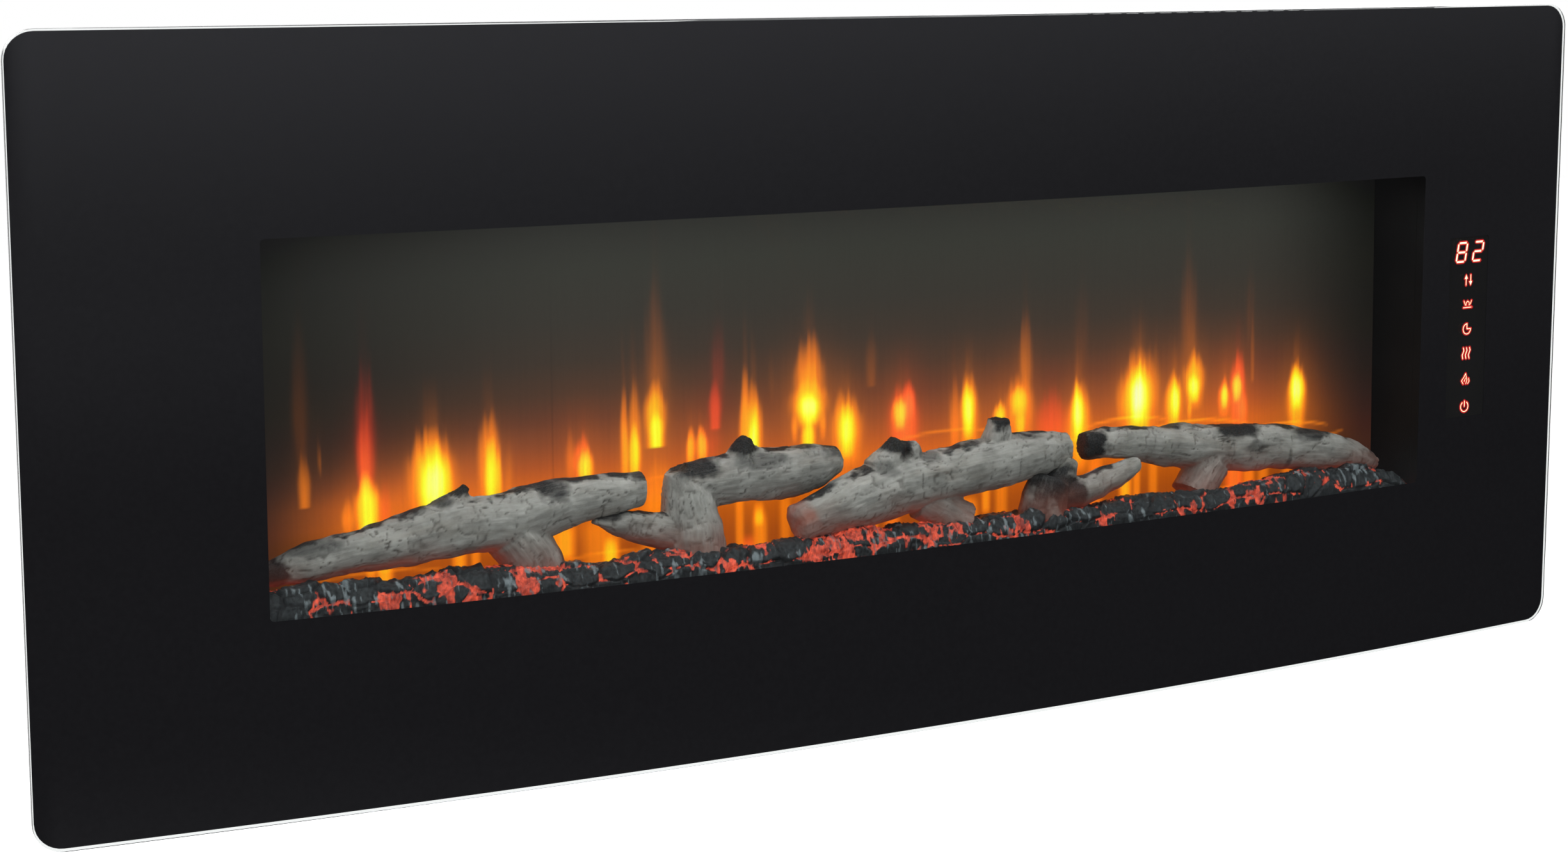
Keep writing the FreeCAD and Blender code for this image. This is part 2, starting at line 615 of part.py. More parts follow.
def log_shapes(bed):
    """The five logs, each trimmed where it meets the ember bed and the logs before it."""
    shapes = {}
    seat = bed.translated(V(0, 0, LOG_SEAT))
    for name, limbs in LOGS.items():
        log = fuse([limb(stations) for stations in limbs])
        log = log.cut([bed, seat] + list(shapes.values()))
        solids = sorted(log.Solids, key=lambda s: s.Volume)
        shapes[name] = solids[-1]
    return shapes


def led_strip(half, y0, y1, z, count, led):
    """A light strip: a narrow board with a row of square LEDs."""
    board = box(-half, half, y0, y1, z, z + 1.2)
    middle = (y0 + y1) / 2
    pitch = 2 * (half - 10) / (count - 1)
    lights = []
    for i in range(count):
        x = -half + 10 + i * pitch
        lights.append(box(x - led / 2, x + led / 2, middle - led / 2, middle + led / 2, z + 1.2, z + 2.8))
    return group([board] + lights)


def ember_led_strip():
    return led_strip(476, -103, -93, FLOOR_Z + 0.8, 32, 5.0)


def flame_led_strip():
    return led_strip(470, -60, -52, FLOOR_Z, 40, 3.5)


# ---- flame projector ------------------------------------------------------------------------
def flame_cutter():
    """Sheet with flame-shaped slots that shape the light on its way to the screen."""
    sheet = box(-470, 470, -57.0, -56.4, -120, CEILING_Z)
    slots = []
    for i in range(19):
        x = -432 + 48 * i
        low, tall = -96 + 9 * (i % 3), 70 + 22 * (i * 7 % 4)
        slots.append(prism_y([(x, low), (x + 9, low + tall * 0.25), (x + 4, low + tall * 0.6),
                              (x + 1, low + tall), (x - 5, low + tall * 0.55), (x - 8, low + tall * 0.2)],
                             -60, -50))
    return sheet.cut(slots)


def back_reflector():
    """Mirror sheet on the case back, with its lower edge turned towards the spindle."""
    sheet = box(-478, 478, -17.0, -16.2, -126, 126)
    lip = profile_x([(-17, -126), (-16.2, -126), (-26.2, -136), (-27, -136)], -478, 478)
    return fuse([sheet, lip])


def spindle_rod():
    return cyl_x(ROD_R, -484, 469, SPINDLE_Y, SPINDLE_Z)


def spindle_vanes():
    """Foil paddles clipped along the rod, each turned a little from the one before."""
    paddles = []
    for i in range(20):
        x = -455 + 46.5 * i
        pieces = [cyl_x(4.0, x - 3, x + 3, SPINDLE_Y, SPINDLE_Z)]
        for arm in range(3):
            blade = box(x - 20, x + 20, SPINDLE_Y + 1.5, SPINDLE_Y + SPINDLE_R, SPINDLE_Z - 0.25, SPINDLE_Z + 0.25)
            blade.rotate(V(x, SPINDLE_Y, SPINDLE_Z), V(1, 0, 0), 40 * i + 120 * arm)
            pieces.append(blade)
        paddles.append(fuse(pieces).cut(cyl_x(ROD_R, x - 30, x + 30, SPINDLE_Y, SPINDLE_Z)))
    return group(paddles)


def spindle_coupling():
    sleeve = cyl_x(8.0, 460, 481, SPINDLE_Y, SPINDLE_Z)
    sleeve = sleeve.cut(cyl_x(ROD_R, 459, 469, SPINDLE_Y, SPINDLE_Z))
    return sleeve.cut(cyl_x(MOTOR_SHAFT_R, 469, 482, SPINDLE_Y, SPINDLE_Z))


def motor_shaft():
    return cyl_x(MOTOR_SHAFT_R, 470, 494, SPINDLE_Y, SPINDLE_Z)


def spindle_motor():
    """Slow geared motor: can, boss with the shaft's bore, and a terminal block."""
    can = cyl_x(18, 490, 507, SPINDLE_Y, SPINDLE_Z)
    boss = cyl_x(6.5, 484, 490, SPINDLE_Y, SPINDLE_Z)
    ears = box(490, 491.2, SPINDLE_Y - 6, SPINDLE_Y + 6, SPINDLE_Z - 24, SPINDLE_Z + 24)
    lugs = box(495, 503, SPINDLE_Y - 7, SPINDLE_Y + 7, SPINDLE_Z - 23, SPINDLE_Z - 15)
    body = fuse([can, boss, ears, lugs])
    return body.cut(cyl_x(MOTOR_SHAFT_R + RUNNING_GAP, 483, 496, SPINDLE_Y, SPINDLE_Z))


def motor_bracket():
    back = CASE_BACK_Y - SHEET
    upright = box(488.8, 490, -58, back, -130, -78)
    foot = box(488.8, 512, back - SHEET, back, -130, -78)
    hole = cyl_x(7.0, 480, 495, SPINDLE_Y, SPINDLE_Z)
    return fuse([upright, foot]).cut(hole)


def spindle_bearing():
    """Nylon upright that carries the rod's left end."""
    upright = box(-482, -476, -49, -28, FLOOR_Z, -93)
    foot = box(-476, -462, -49, -28, FLOOR_Z, FLOOR_Z + 3)
    return fuse([upright, foot]).cut(cyl_x(ROD_R + RUNNING_GAP, -490, -470, SPINDLE_Y, SPINDLE_Z))


# ---- fan heater -----------------------------------------------------------------------------
def scroll_arc(from_deg, to_deg, radius, thick):
    """Part of a round casing about the blower's axis; 0 degrees points to the wall, 90 up."""
    steps = [from_deg + (to_deg - from_deg) * i / 2 for i in range(3)]

    def point(r, deg):
        a = math.radians(deg)
        return V(-BLOWER_X, BLOWER_Y + r * math.cos(a), BLOWER_Z + r * math.sin(a))

    inner = Part.Arc(*[point(radius, d) for d in steps]).toShape()
    outer = Part.Arc(*[point(radius + thick, d) for d in steps]).toShape()
    ends = [Part.makeLine(point(radius, d), point(radius + thick, d)) for d in (from_deg, to_deg)]
    face = Part.Face(Part.Wire(Part.__sortEdges__([inner, ends[1], outer, ends[0]])))
    return face.extrude(V(2 * BLOWER_X, 0, 0))


def blower_housing():
    rear = scroll_arc(-60, 100, 24, SHEET)
    tongue = scroll_arc(180, 236, 24, SHEET)
    tail = box(-BLOWER_X, BLOWER_X, -40.4, -39.2, -205, -197.5)
    lead = profile_x([(-66, -197.0), (-84.8, -203.8), (-84.8, -205.0), (-66, -198.6)], -BLOWER_X, BLOWER_X)
    pieces = [rear, tongue, tail, lead]
    for x0 in (-BLOWER_X - SHEET, BLOWER_X):
        end = box(x0, x0 + SHEET, -86, -26, -205, -151)
        pieces.append(end.cut(cyl_x(7, x0 - 1, x0 + 3, BLOWER_Y, BLOWER_Z)))
    return fuse(pieces)


def blower_impeller():
    """Cross-flow impeller: five discs joined by a ring of slanted blades."""
    pieces = []
    for i in range(5):
        x = -146 + i * 72.6
        disc = cyl_x(IMPELLER_R, x, x + 1.6, BLOWER_Y, BLOWER_Z)
        pieces.append(disc.cut(cyl_x(3.0, x - 1, x + 3, BLOWER_Y, BLOWER_Z)))
    for i in range(18):
        blade = box(-145, 145, BLOWER_Y + 15.2, BLOWER_Y + 19.6, BLOWER_Z - 0.4, BLOWER_Z + 0.4)
        blade.rotate(V(0, BLOWER_Y + 17.4, BLOWER_Z), V(1, 0, 0), 35)
        blade.rotate(V(0, BLOWER_Y, BLOWER_Z), V(1, 0, 0), 20 * i)
        pieces.append(blade)
    return fuse(pieces)


def blower_shaft():
    return cyl_x(3.0, -158, 190, BLOWER_Y, BLOWER_Z)


def blower_bushes():
    bushes = []
    for x0 in (-BLOWER_X - 4, BLOWER_X - 1):
        bush = cyl_x(7.0, x0, x0 + 5, BLOWER_Y, BLOWER_Z)
        bushes.append(bush.cut(cyl_x(3.0 + RUNNING_GAP, x0 - 1, x0 + 6, BLOWER_Y, BLOWER_Z)))
    return group(bushes)


def blower_stator():
    """Laminated core of the fan motor, on two posts from the blower's end plate."""
    core = box(162, 182, -76, -28, -214, -154)
    core = core.cut([cyl_x(10.6, 160, 184, BLOWER_Y, BLOWER_Z), box(160, 184, -68, -36, -206, -193)])
    posts = [cyl_x(2.5, BLOWER_X + SHEET, 162, y, -158) for y in (-72, -32)]
    return fuse([core] + posts)


def blower_coil():
    coil = box(157, 187, -64, -40, -219, -194)
    return coil.cut(box(162, 182, -70, -30, -214, -206))


def blower_rotor():
    return cyl_x(10.0, 162, 182, BLOWER_Y, BLOWER_Z).cut(cyl_x(3.0, 160, 184, BLOWER_Y, BLOWER_Z))


def heater_frame():
    outer = box(-147, 147, -83, -41, -219, -209)
    return outer.cut(box(-144, 144, -80, -44, -220, -208))


def heater_element():
    """Two ceramic bars with a row of fins."""
    pieces = [box(-144, 144, -72, -69, -217.5, -210.5), box(-144, 144, -55, -52, -217.5, -210.5)]
    for i in range(36):
        x = -140 + 8 * i
        pieces.append(box(x - 0.4, x + 0.4, -79.5, -44.5, -218.5, -209.5))
    return fuse(pieces)


def thermal_cutout():
    """Bimetal cut-out clipped to the front of the outlet duct."""
    disc = cyl_y(8.0, -91.5, -86.0, 100, -212)
    ears = box(88, 112, -86.0, -84.8, -216, -208)
    tabs = [box(100 + dx - 1.5, 100 + dx + 1.5, -95, -91.5, -212.4, -211.6) for dx in (-4, 4)]
    return fuse([disc, ears] + tabs)


def outlet_duct():
    outer = box(-148.8, 148.8, -84.8, -39.2, -CASE_Z + SHEET, -205)
    return outer.cut(box(-148, 148, -84, -40, -230, -200))


def outlet_grille():
    """Frame and slats in the case bottom; warm air leaves downwards."""
    low = -CASE_Z - 1.5
    rim = box(-148, 148, -89, -35, low, -CASE_Z).cut(box(-139, 139, -81, -43, low - 1, 0))
    pieces = [rim]
    for i in range(6):
        y = -77.5 + 6.2 * i
        pieces.append(box(-139.5, 139.5, y - 0.6, y + 0.6, low, -CASE_Z + 4))
    for x in (-70, 0, 70):
        pieces.append(box(x - 0.8, x + 0.8, -81.5, -42.5, low, -CASE_Z + 4))
    return fuse(pieces)


# ---- electrics ------------------------------------------------------------------------------
BOARD_Z = -219.0            # underside of the control board


def control_board():
    board = box(230, 420, -85, -25, BOARD_Z, BOARD_Z + 1.6)
    holes = [cyl_z(1.6, BOARD_Z - 1, BOARD_Z + 3, x, y) for x in (236, 414) for y in (-79, -31)]
    return board.cut(holes)


def board_components():
    """Relays, transformer, capacitors, a heat sink and sockets on the control board."""
    top = BOARD_Z + 1.6
    parts = [box(245 + 24 * i, 263 + 24 * i, -50, -34, top, top + 16) for i in range(3)]
    parts.append(box(325, 360, -62, -32, top, top + 27))
    parts += [cyl_z(6.5, top, top + 20, 378 + 16 * i, -40) for i in range(2)]
    sink = [box(245, 300, -76, -74, top, top + 24)]
    sink += [box(247 + 8 * i, 248.5 + 8 * i, -74, -66, top, top + 24) for i in range(7)]
    parts.append(fuse(sink))
    parts += [box(320 + 22 * i, 338 + 22 * i, -82, -75, top, top + 9) for i in range(3)]
    parts.append(box(404, 416, -68, -56, top, top + 6))
    return group(parts)


def board_standoffs():
    posts = []
    for x in (236, 414):
        for y in (-79, -31):
            post = cyl_z(3.0, -CASE_Z + SHEET, BOARD_Z, x, y)
            pin = cyl_z(1.6, BOARD_Z, BOARD_Z + 3.2, x, y)
            posts.append(post.fuse(pin))
    return group(posts)


def terminal_block():
    block = box(455, 500, -62, -40, -CASE_Z + SHEET, -206)
    wells = [cyl_z(2.6, -212, -200, 463 + 15 * i, -51) for i in range(3)]
    mouths = [cyl_y(2.4, -70, -55, 463 + 15 * i, -215) for i in range(3)]
    return block.cut(wells + mouths)


def cord_inlet():
    """Cable gland in the case's right side, its bore open for the mains cord."""
    x = CASE_X
    body = [cyl_x(6.5, x - 13, x - 8, GLAND_Y, GLAND_Z), cyl_x(11.0, x - 8, x - SHEET, GLAND_Y, GLAND_Z),
            gland_shank(x - SHEET, x), cyl_x(11.5, x, x + 5, GLAND_Y, GLAND_Z)]
    dome = Part.makeCone(10.0, 7.0, 12.0, V(x + 5, GLAND_Y, GLAND_Z), V(1, 0, 0))
    gland = fuse(body + [dome])
    return gland.cut(cyl_x(CORD_BORE_R, x - 20, x + 25, GLAND_Y, GLAND_Z))


def switch_housing():
    y, z, x = SWITCH_Y, SWITCH_Z, CASE_X
    bezel = box(x, x + 2, y - 14, y + 14, z - 8.5, z + 8.5)
    edges = [e for e in bezel.Edges if abs(e.tangentAt(e.FirstParameter).x) > 0.99]
    bezel = bezel.makeFillet(1.5, edges)
    body = box(x - 18, x, y - 11.8, y + 11.8, z - 6.6, z + 6.6)
    tags = [box(x - 26, x - 18, y + dy - 0.4, y + dy + 0.4, z - 3, z + 3) for dy in (-7, 0, 7)]
    pocket = box(x - 12, x + 3, y - 10.4, y + 10.4, z - 5.0, z + 5.0)
    pivot = cyl_z(1.5 + RUNNING_GAP, z - 6.0, z + 6.0, ROCKER_PIVOT_X, y)
    return fuse([bezel, body] + tags).cut([pocket, pivot])


def power_rocker():
    """Rocker with two pressing faces and trunnions, modelled tipped to its on side."""
    px, py = ROCKER_PIVOT_X, SWITCH_Y
    outline = [(-3, -6), (6.5, -8.4), (8.2, -8.2), (6.2, 0), (8.2, 8.2), (6.5, 8.4), (-3, 6)]
    corners = [V(px + a, py + b, SWITCH_Z - 4.5) for a, b in outline]
    face = Part.Face(Part.makePolygon(corners + [corners[0]]))
    rocker = face.extrude(V(0, 0, 9.0))
    rocker = rocker.fuse(cyl_z(1.5, SWITCH_Z - 5.9, SWITCH_Z + 5.9, px, py)).removeSplitter()
    rocker.rotate(V(px, py, SWITCH_Z), V(0, 0, 1), -ROCKER_TILT)
    return rocker


# ---- assembly -------------------------------------------------------------------------------
def build():
    bed = ember_bed()
    nodes = {
        "wall_bracket": wall_bracket(), "hanger_rail": hanger_rail(), "wall_bumpers": wall_bumpers(),
        "rear_case": rear_case(), "front_plate": front_plate(), "case_screws": case_screws(),
        "panel_screws": panel_screws(), "front_glass": front_glass(), "glass_mask": glass_mask(),
        "display_film": display_film(), "bond_tape": bond_tape(), "glass_carrier": glass_carrier(),
        "display_legends": display_legends(), "touch_board": touch_board(),
        "digit_display": digit_display(), "touch_springs": touch_springs(),
        "display_harness": display_harness(), "firebox_side_left": firebox_side(-1),
        "firebox_side_right": firebox_side(1), "firebox_ceiling": firebox_ceiling(),
        "firebox_floor": firebox_floor(), "flame_screen": flame_screen(), "screen_rails": screen_rails(),
        "ember_tray": ember_tray(), "ember_bed": bed, "ember_led_strip": ember_led_strip(),
        "flame_led_strip": flame_led_strip(), "flame_cutter": flame_cutter(),
        "back_reflector": back_reflector(), "spindle_rod": spindle_rod(),
        "spindle_vanes": spindle_vanes(), "spindle_coupling": spindle_coupling(),
        "motor_shaft": motor_shaft(), "spindle_motor": spindle_motor(),
        "motor_bracket": motor_bracket(), "spindle_bearing": spindle_bearing(),
        "blower_housing": blower_housing(), "blower_impeller": blower_impeller(),
        "blower_shaft": blower_shaft(), "blower_bushes": blower_bushes(),
        "blower_stator": blower_stator(), "blower_coil": blower_coil(),
        "blower_rotor": blower_rotor(), "heater_frame": heater_frame(),
        "heater_element": heater_element(), "thermal_cutout": thermal_cutout(),
        "outlet_duct": outlet_duct(), "outlet_grille": outlet_grille(),
        "control_board": control_board(), "board_components": board_components(),
        "board_standoffs": board_standoffs(), "terminal_block": terminal_block(),
        "switch_housing": switch_housing(), "power_rocker": power_rocker(), "cord_inlet": cord_inlet(),
    }
    nodes.update(log_shapes(bed))
    return nodes


def save(nodes):
    os.makedirs("parts", exist_ok=True)
    for name, shape in nodes.items():
        placed = shape.copy()
        placed.translate(V(0, 0, -BRACKET_Z))
        placed.exportStep(f"parts/{name}.step")
        state = "ok" if placed.isValid() else "INVALID"
        print(f"{name:20s} solids {len(placed.Solids):3d} volume {placed.Volume:12.1f} {state}")


save(build())
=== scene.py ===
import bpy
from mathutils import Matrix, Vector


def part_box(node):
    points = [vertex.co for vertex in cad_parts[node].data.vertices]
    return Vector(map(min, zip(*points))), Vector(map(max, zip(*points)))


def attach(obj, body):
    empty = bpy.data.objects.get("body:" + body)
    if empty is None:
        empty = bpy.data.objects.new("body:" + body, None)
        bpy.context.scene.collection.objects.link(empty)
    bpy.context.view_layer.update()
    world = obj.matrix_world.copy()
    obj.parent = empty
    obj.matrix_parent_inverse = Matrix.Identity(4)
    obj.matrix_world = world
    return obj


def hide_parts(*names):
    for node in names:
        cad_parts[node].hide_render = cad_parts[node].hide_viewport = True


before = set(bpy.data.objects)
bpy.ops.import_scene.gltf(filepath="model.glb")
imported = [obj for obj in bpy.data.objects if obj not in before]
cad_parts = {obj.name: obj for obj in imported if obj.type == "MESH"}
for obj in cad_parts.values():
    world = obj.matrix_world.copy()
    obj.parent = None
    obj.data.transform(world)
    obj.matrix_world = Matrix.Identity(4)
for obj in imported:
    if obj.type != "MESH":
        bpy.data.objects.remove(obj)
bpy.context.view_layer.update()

import bmesh
import bpy
import math
import numpy as np
from mathutils import Matrix, Vector

# Wall-hung electric fireplace. Unless a name says otherwise, lengths are in millimetres: x from the middle
# of the glass front, y from the wall (negative to the front) and z from the glass front's centre. place()
# turns them into the frame's metres.
glass_lo, glass_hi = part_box("front_glass")
screen_lo, screen_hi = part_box("flame_screen")
PANEL_Z = (glass_lo.z + glass_hi.z) / 2  # the glass front's centre, in the frame's metres
HALF_X = glass_hi.x * 1000
HALF_Z = (glass_hi.z - glass_lo.z) * 500
CROWN_Y = glass_lo.y * 1000
SAG = 32.0  # how far the ends of the glass stand behind its middle
GLASS_T = 5.0
FRONT_R = (HALF_X ** 2 + SAG ** 2) / (2 * SAG)
AXIS_Y = CROWN_Y + FRONT_R
PRINT_BITE = 0.02  # the glass reaches this far into the black print, so that no gap shows between them
ARRIS = 0.9  # width of the ground rim of the glass
ARRIS_SIDE, ARRIS_DEEP = 0.18, 0.32  # a point halfway round the rim: in from the edge, back from the face


# ---- numbers ----
def lattice(ix, iy, iz, seed):
    """A repeatable random number from 0 to 1 for each lattice point."""
    h = (ix * 374761393 + iy * 668265263 + iz * 1440662683 + seed * 1274126177) & 0xFFFFFFFF
    h = ((h ^ (h >> 13)) * 1274126177) & 0xFFFFFFFF
    h = ((h ^ (h >> 15)) * 2246822519) & 0xFFFFFFFF
    return ((h ^ (h >> 16)) & 0xFFFFFF) / float(0xFFFFFF)


def noise(p, seed):
    """Smooth noise from 0 to 1 at each row of p."""
    cell = np.floor(p).astype(np.int64)
    f = p - cell
    f = f * f * (3 - 2 * f)
    total = np.zeros(len(p))
    for dx in (0, 1):
        wx = f[:, 0] if dx else 1 - f[:, 0]
        for dy in (0, 1):
            wy = f[:, 1] if dy else 1 - f[:, 1]
            for dz in (0, 1):
                wz = f[:, 2] if dz else 1 - f[:, 2]
                total += wx * wy * wz * lattice(cell[:, 0] + dx, cell[:, 1] + dy, cell[:, 2] + dz, seed)
    return total


def fractal(p, octaves, seed):
    """Noise from 0 to 1 in octaves, each twice as fine and half as strong as the last."""
    total, amp, norm = np.zeros(len(p)), 1.0, 0.0
    for k in range(octaves):
        total += amp * noise(p * 2.0 ** k, seed + 17 * k)
        norm += amp
        amp *= 0.5
    return total / norm


def ridged(p, octaves, seed):
    """Noise from 0 to 1 with sharp crests."""
    return 1 - np.abs(2 * fractal(p, octaves, seed) - 1)


def stretch(p, along, across):
    """Points scaled for noise whose features are that long on the first axis and that wide on the others."""
    return p / np.array([along, across, across])


def cells(x, y, seed):
    """Distances to the nearest two of scattered points, and a random number that goes with the nearest."""
    cx, cy = np.floor(x).astype(np.int64), np.floor(y).astype(np.int64)
    first, second = np.full(len(x), 9.0), np.full(len(x), 9.0)
    ident = np.zeros(len(x))
    zero = np.zeros_like(cx)
    for dx in (-1, 0, 1):
        for dy in (-1, 0, 1):
            ix, iy = cx + dx, cy + dy
            px = ix + 0.15 + 0.7 * lattice(ix, iy, zero, seed)
            py = iy + 0.15 + 0.7 * lattice(ix, iy, zero, seed + 1)
            d = np.hypot(px - x, py - y)
            nearer = d < first
            second = np.where(nearer, first, np.minimum(second, d))
            ident = np.where(nearer, lattice(ix, iy, zero, seed + 2), ident)
            first = np.where(nearer, d, first)
    return first, second, ident


def smooth(a, b, x):
    """0 below a and 1 above b, with a soft step between."""
    t = np.clip((x - a) / (b - a), 0, 1)
    return t * t * (3 - 2 * t)


def linear(rgb):
    """Display colour, 0 to 255, to scene-linear."""
    c = np.asarray(rgb, float) / 255
    return np.where(c <= 0.04045, c / 12.92, ((c + 0.055) / 1.055) ** 2.4)


# ---- meshes ----
def place(points):
    """Panel millimetres to the frame's metres."""
    p = np.asarray(points, float) * 0.001
    return p + np.array([0, 0, PANEL_Z])


def mesh_object(name, verts, faces, sharp=None):
    """A smooth object from panel millimetres, creased where faces meet at more than sharp degrees."""
    mesh = bpy.data.meshes.new(name)
    mesh.from_pydata(place(verts).tolist(), [], [list(map(int, f)) for f in faces])
    mesh.validate()
    mesh.polygons.foreach_set("use_smooth", [True] * len(mesh.polygons))
    if sharp is not None:
        mesh.set_sharp_from_angle(angle=math.radians(sharp))
    obj = bpy.data.objects.new(name, mesh)
    bpy.context.scene.collection.objects.link(obj)
    return obj


def attribute(obj, name, values):
    """Gives each vertex a value or three, which materials read by name."""
    values = np.asarray(values, np.float32)
    if values.ndim == 1:
        layer = obj.data.attributes.new(name, "FLOAT", "POINT")
        layer.data.foreach_set("value", values)
    else:
        layer = obj.data.attributes.new(name, "FLOAT_COLOR", "POINT")
        rgba = np.column_stack([values, np.ones(len(values))]).astype(np.float32)
        layer.data.foreach_set("color", rgba.ravel())


def vertex_values(obj, name):
    values = np.zeros(len(obj.data.vertices) * 3)
    obj.data.vertices.foreach_get(name, values)
    return values.reshape(-1, 3)


def coords(obj):
    """Vertex positions in panel millimetres."""
    return (vertex_values(obj, "co") - np.array([0, 0, PANEL_Z])) * 1000


def set_coords(obj, p):
    obj.data.vertices.foreach_set("co", place(p).astype(np.float32).ravel())
    obj.data.update()


def relax(values, rounds):
    """Smooths a run of values in place, all but its two ends."""
    for _ in range(rounds):
        values[1:-1] = (values[:-2] + 2 * values[1:-1] + values[2:]) / 4


def grid_faces(index):
    """The quads between neighbours in a grid of vertex numbers."""
    return np.stack([index[:-1, :-1], index[:-1, 1:], index[1:, 1:], index[1:, :-1]], -1).reshape(-1, 4)


def fix_winding(obj):
    """Turns every face outward."""
    bm = bmesh.new()
    bm.from_mesh(obj.data)
    bmesh.ops.recalc_face_normals(bm, faces=bm.faces)
    bm.to_mesh(obj.data)
    bm.free()


def finish_piece(obj, material, replaces=None):
    """Every piece modelled here belongs to the case."""
    obj.data.materials.clear()
    obj.data.materials.append(material)
    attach(obj, "case")
    if replaces:
        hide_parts(replaces)


# ---- material helpers ----
class Tree:
    """The nodes of a new material, or of the world."""

    def __init__(self, name, owners=bpy.data.materials, output="OutputMaterial"):
        self.owner = owners.new(name)
        self.owner.use_nodes = True
        self.nt = self.owner.node_tree
        self.nt.nodes.clear()
        self.out = self.nt.nodes.new("ShaderNode" + output)
        self.coords = self.nt.nodes.new("ShaderNodeTexCoord").outputs

    def node(self, kind, settings=None, **inputs):
        """A node whose inputs are given by name, with _ for a space, or by place: i0, i1 and so on."""
        n = self.nt.nodes.new("ShaderNode" + kind)
        for key, value in (settings or {}).items():
            setattr(n, key, value)
        for key, value in inputs.items():
            self.feed(n.inputs[int(key[1:]) if key[1:].isdigit() else key.replace("_", " ")], value)
        return n

    def feed(self, socket, value):
        if isinstance(value, bpy.types.NodeSocket):
            self.nt.links.new(value, socket)
        else:
            socket.default_value = value

    def scaled(self, scale, offset=(0, 0, 0)):
        scale = scale if isinstance(scale, tuple) else (scale,) * 3
        return self.node("Mapping", Vector=self.coords["Object"], Scale=scale, Location=offset).outputs[0]

    def noise(self, scale, detail=3.0, roughness=0.55, offset=(0, 0, 0)):
        moved = self.scaled(scale, offset)
        return self.node("TexNoise", Vector=moved, Scale=1.0, Detail=detail, Roughness=roughness).outputs[0]

    def voronoi(self, scale, output="Distance"):
        return self.node("TexVoronoi", Vector=self.scaled(scale), Scale=1.0).outputs[output]

    def attr(self, name, output="Fac"):
        return self.node("Attribute", {"attribute_name": name}).outputs[output]

    def span(self, value, lo, hi, out_lo=0.0, out_hi=1.0):
        """Maps lo to out_lo and hi to out_hi, and holds the ends."""
        return self.node("MapRange", i0=value, i1=lo, i2=hi, i3=out_lo, i4=out_hi).outputs[0]

    def vary(self, noise, out_lo=0.0, out_hi=1.0):
        """Spreads the range that noise mostly keeps to."""
        return self.span(noise, 0.3, 0.7, out_lo, out_hi)

    def math(self, operation, a, b):
        return self.node("Math", {"operation": operation}, i0=a, i1=b).outputs[0]

    def multiply_add(self, a, b, c):
        return self.node("Math", {"operation": "MULTIPLY_ADD"}, i0=a, i1=b, i2=c).outputs[0]

    def blend(self, a, share_a, b, share_b):
        return self.multiply_add(a, share_a, self.math("MULTIPLY", b, share_b))

    def ragged(self, value, noise, amount):
        """A value whose edges noise breaks up."""
        return self.math("ADD", value, self.multiply_add(noise, amount, -amount / 2))

    def mix(self, factor, a, b):
        n = self.node("Mix", {"data_type": "RGBA"}, i0=factor)
        for key, value in ((6, a), (7, b)):
            self.feed(n.inputs[key], value + (1.0,) if isinstance(value, tuple) else value)
        return n.outputs[2]

    def bump(self, height, strength, distance):
        return self.node("Bump", Strength=strength, Distance=distance, Height=height).outputs[0]

    def principled(self, **inputs):
        n = self.node("BsdfPrincipled")
        for key, value in inputs.items():
            self.feed(n.inputs[key.replace("_", " ")], value + (1.0,) if isinstance(value, tuple) else value)
        return n.outputs[0]

    def choose(self, factor, off, on):
        return self.node("MixShader", i0=factor, i1=off, i2=on).outputs[0]

    def finish(self, shader):
        self.nt.links.new(shader, self.out.inputs[0])
        return self.owner

    def paint(self, **inputs):
        """A material of one Principled shader."""
        return self.finish(self.principled(**inputs))


# ---- plain finishes ----
def case_paint():
    """Powder coat: near black with a fine orange peel."""
    t = Tree("case_paint")
    cloud = t.noise(14.0, 2.0)
    peel = t.noise(900.0, 2.0, 0.6)
    tone = t.span(t.blend(peel, 0.6, cloud, 0.4), 0.35, 0.65)
    return t.paint(Base_Color=t.mix(tone, (0.014, 0.0145, 0.0155), (0.028, 0.029, 0.031)),
                   Roughness=t.vary(cloud, 0.42, 0.56), Normal=t.bump(peel, 0.35, 0.0004))


def metal(name, dark, light, rough, grain, bump):
    """Bare metal: one number for grain makes zinc's spangle, three make rolled or brushed streaks."""
    t = Tree(name)
    cloud = t.noise(22.0, 3.0)
    if isinstance(grain, tuple):
        shade = t.noise(grain, 2.0, 0.7)
    else:
        shade = t.node("SeparateColor", Color=t.voronoi(grain, "Color")).outputs[0]
    tone = t.blend(shade, 0.65, cloud, 0.35)
    return t.paint(Base_Color=t.mix(t.span(tone, 0.25, 0.75), dark, light), Metallic=1.0,
                   Roughness=t.span(tone, 0.25, 0.75, *rough), Normal=t.bump(shade, bump, 0.0002))


def moulded(name, dark, light, grain, rough, bump, specular):
    """Plastic, rubber, foam or film with a fine grain."""
    t = Tree(name)
    cloud = t.noise(30.0, 3.0)
    fine = t.noise(grain, 2.0, 0.6)
    tone = t.span(t.blend(fine, 0.5, cloud, 0.5), 0.35, 0.65)
    return t.paint(Base_Color=t.mix(tone, dark, light), Specular_IOR_Level=specular,
                   Roughness=t.vary(cloud, *rough), Normal=t.bump(fine, bump, 0.0002))


def black_print():
    """Fired ceramic print seen through the glass: a soft black with a faint even grain."""
    t = Tree("black_print")
    colour = t.mix(t.vary(t.noise(260.0, 3.0)), (0.0142, 0.0136, 0.0156), (0.0168, 0.0161, 0.0184))
    return t.paint(Base_Color=colour, Roughness=t.vary(t.noise(40.0), 0.6, 0.75), Specular_IOR_Level=0.0)


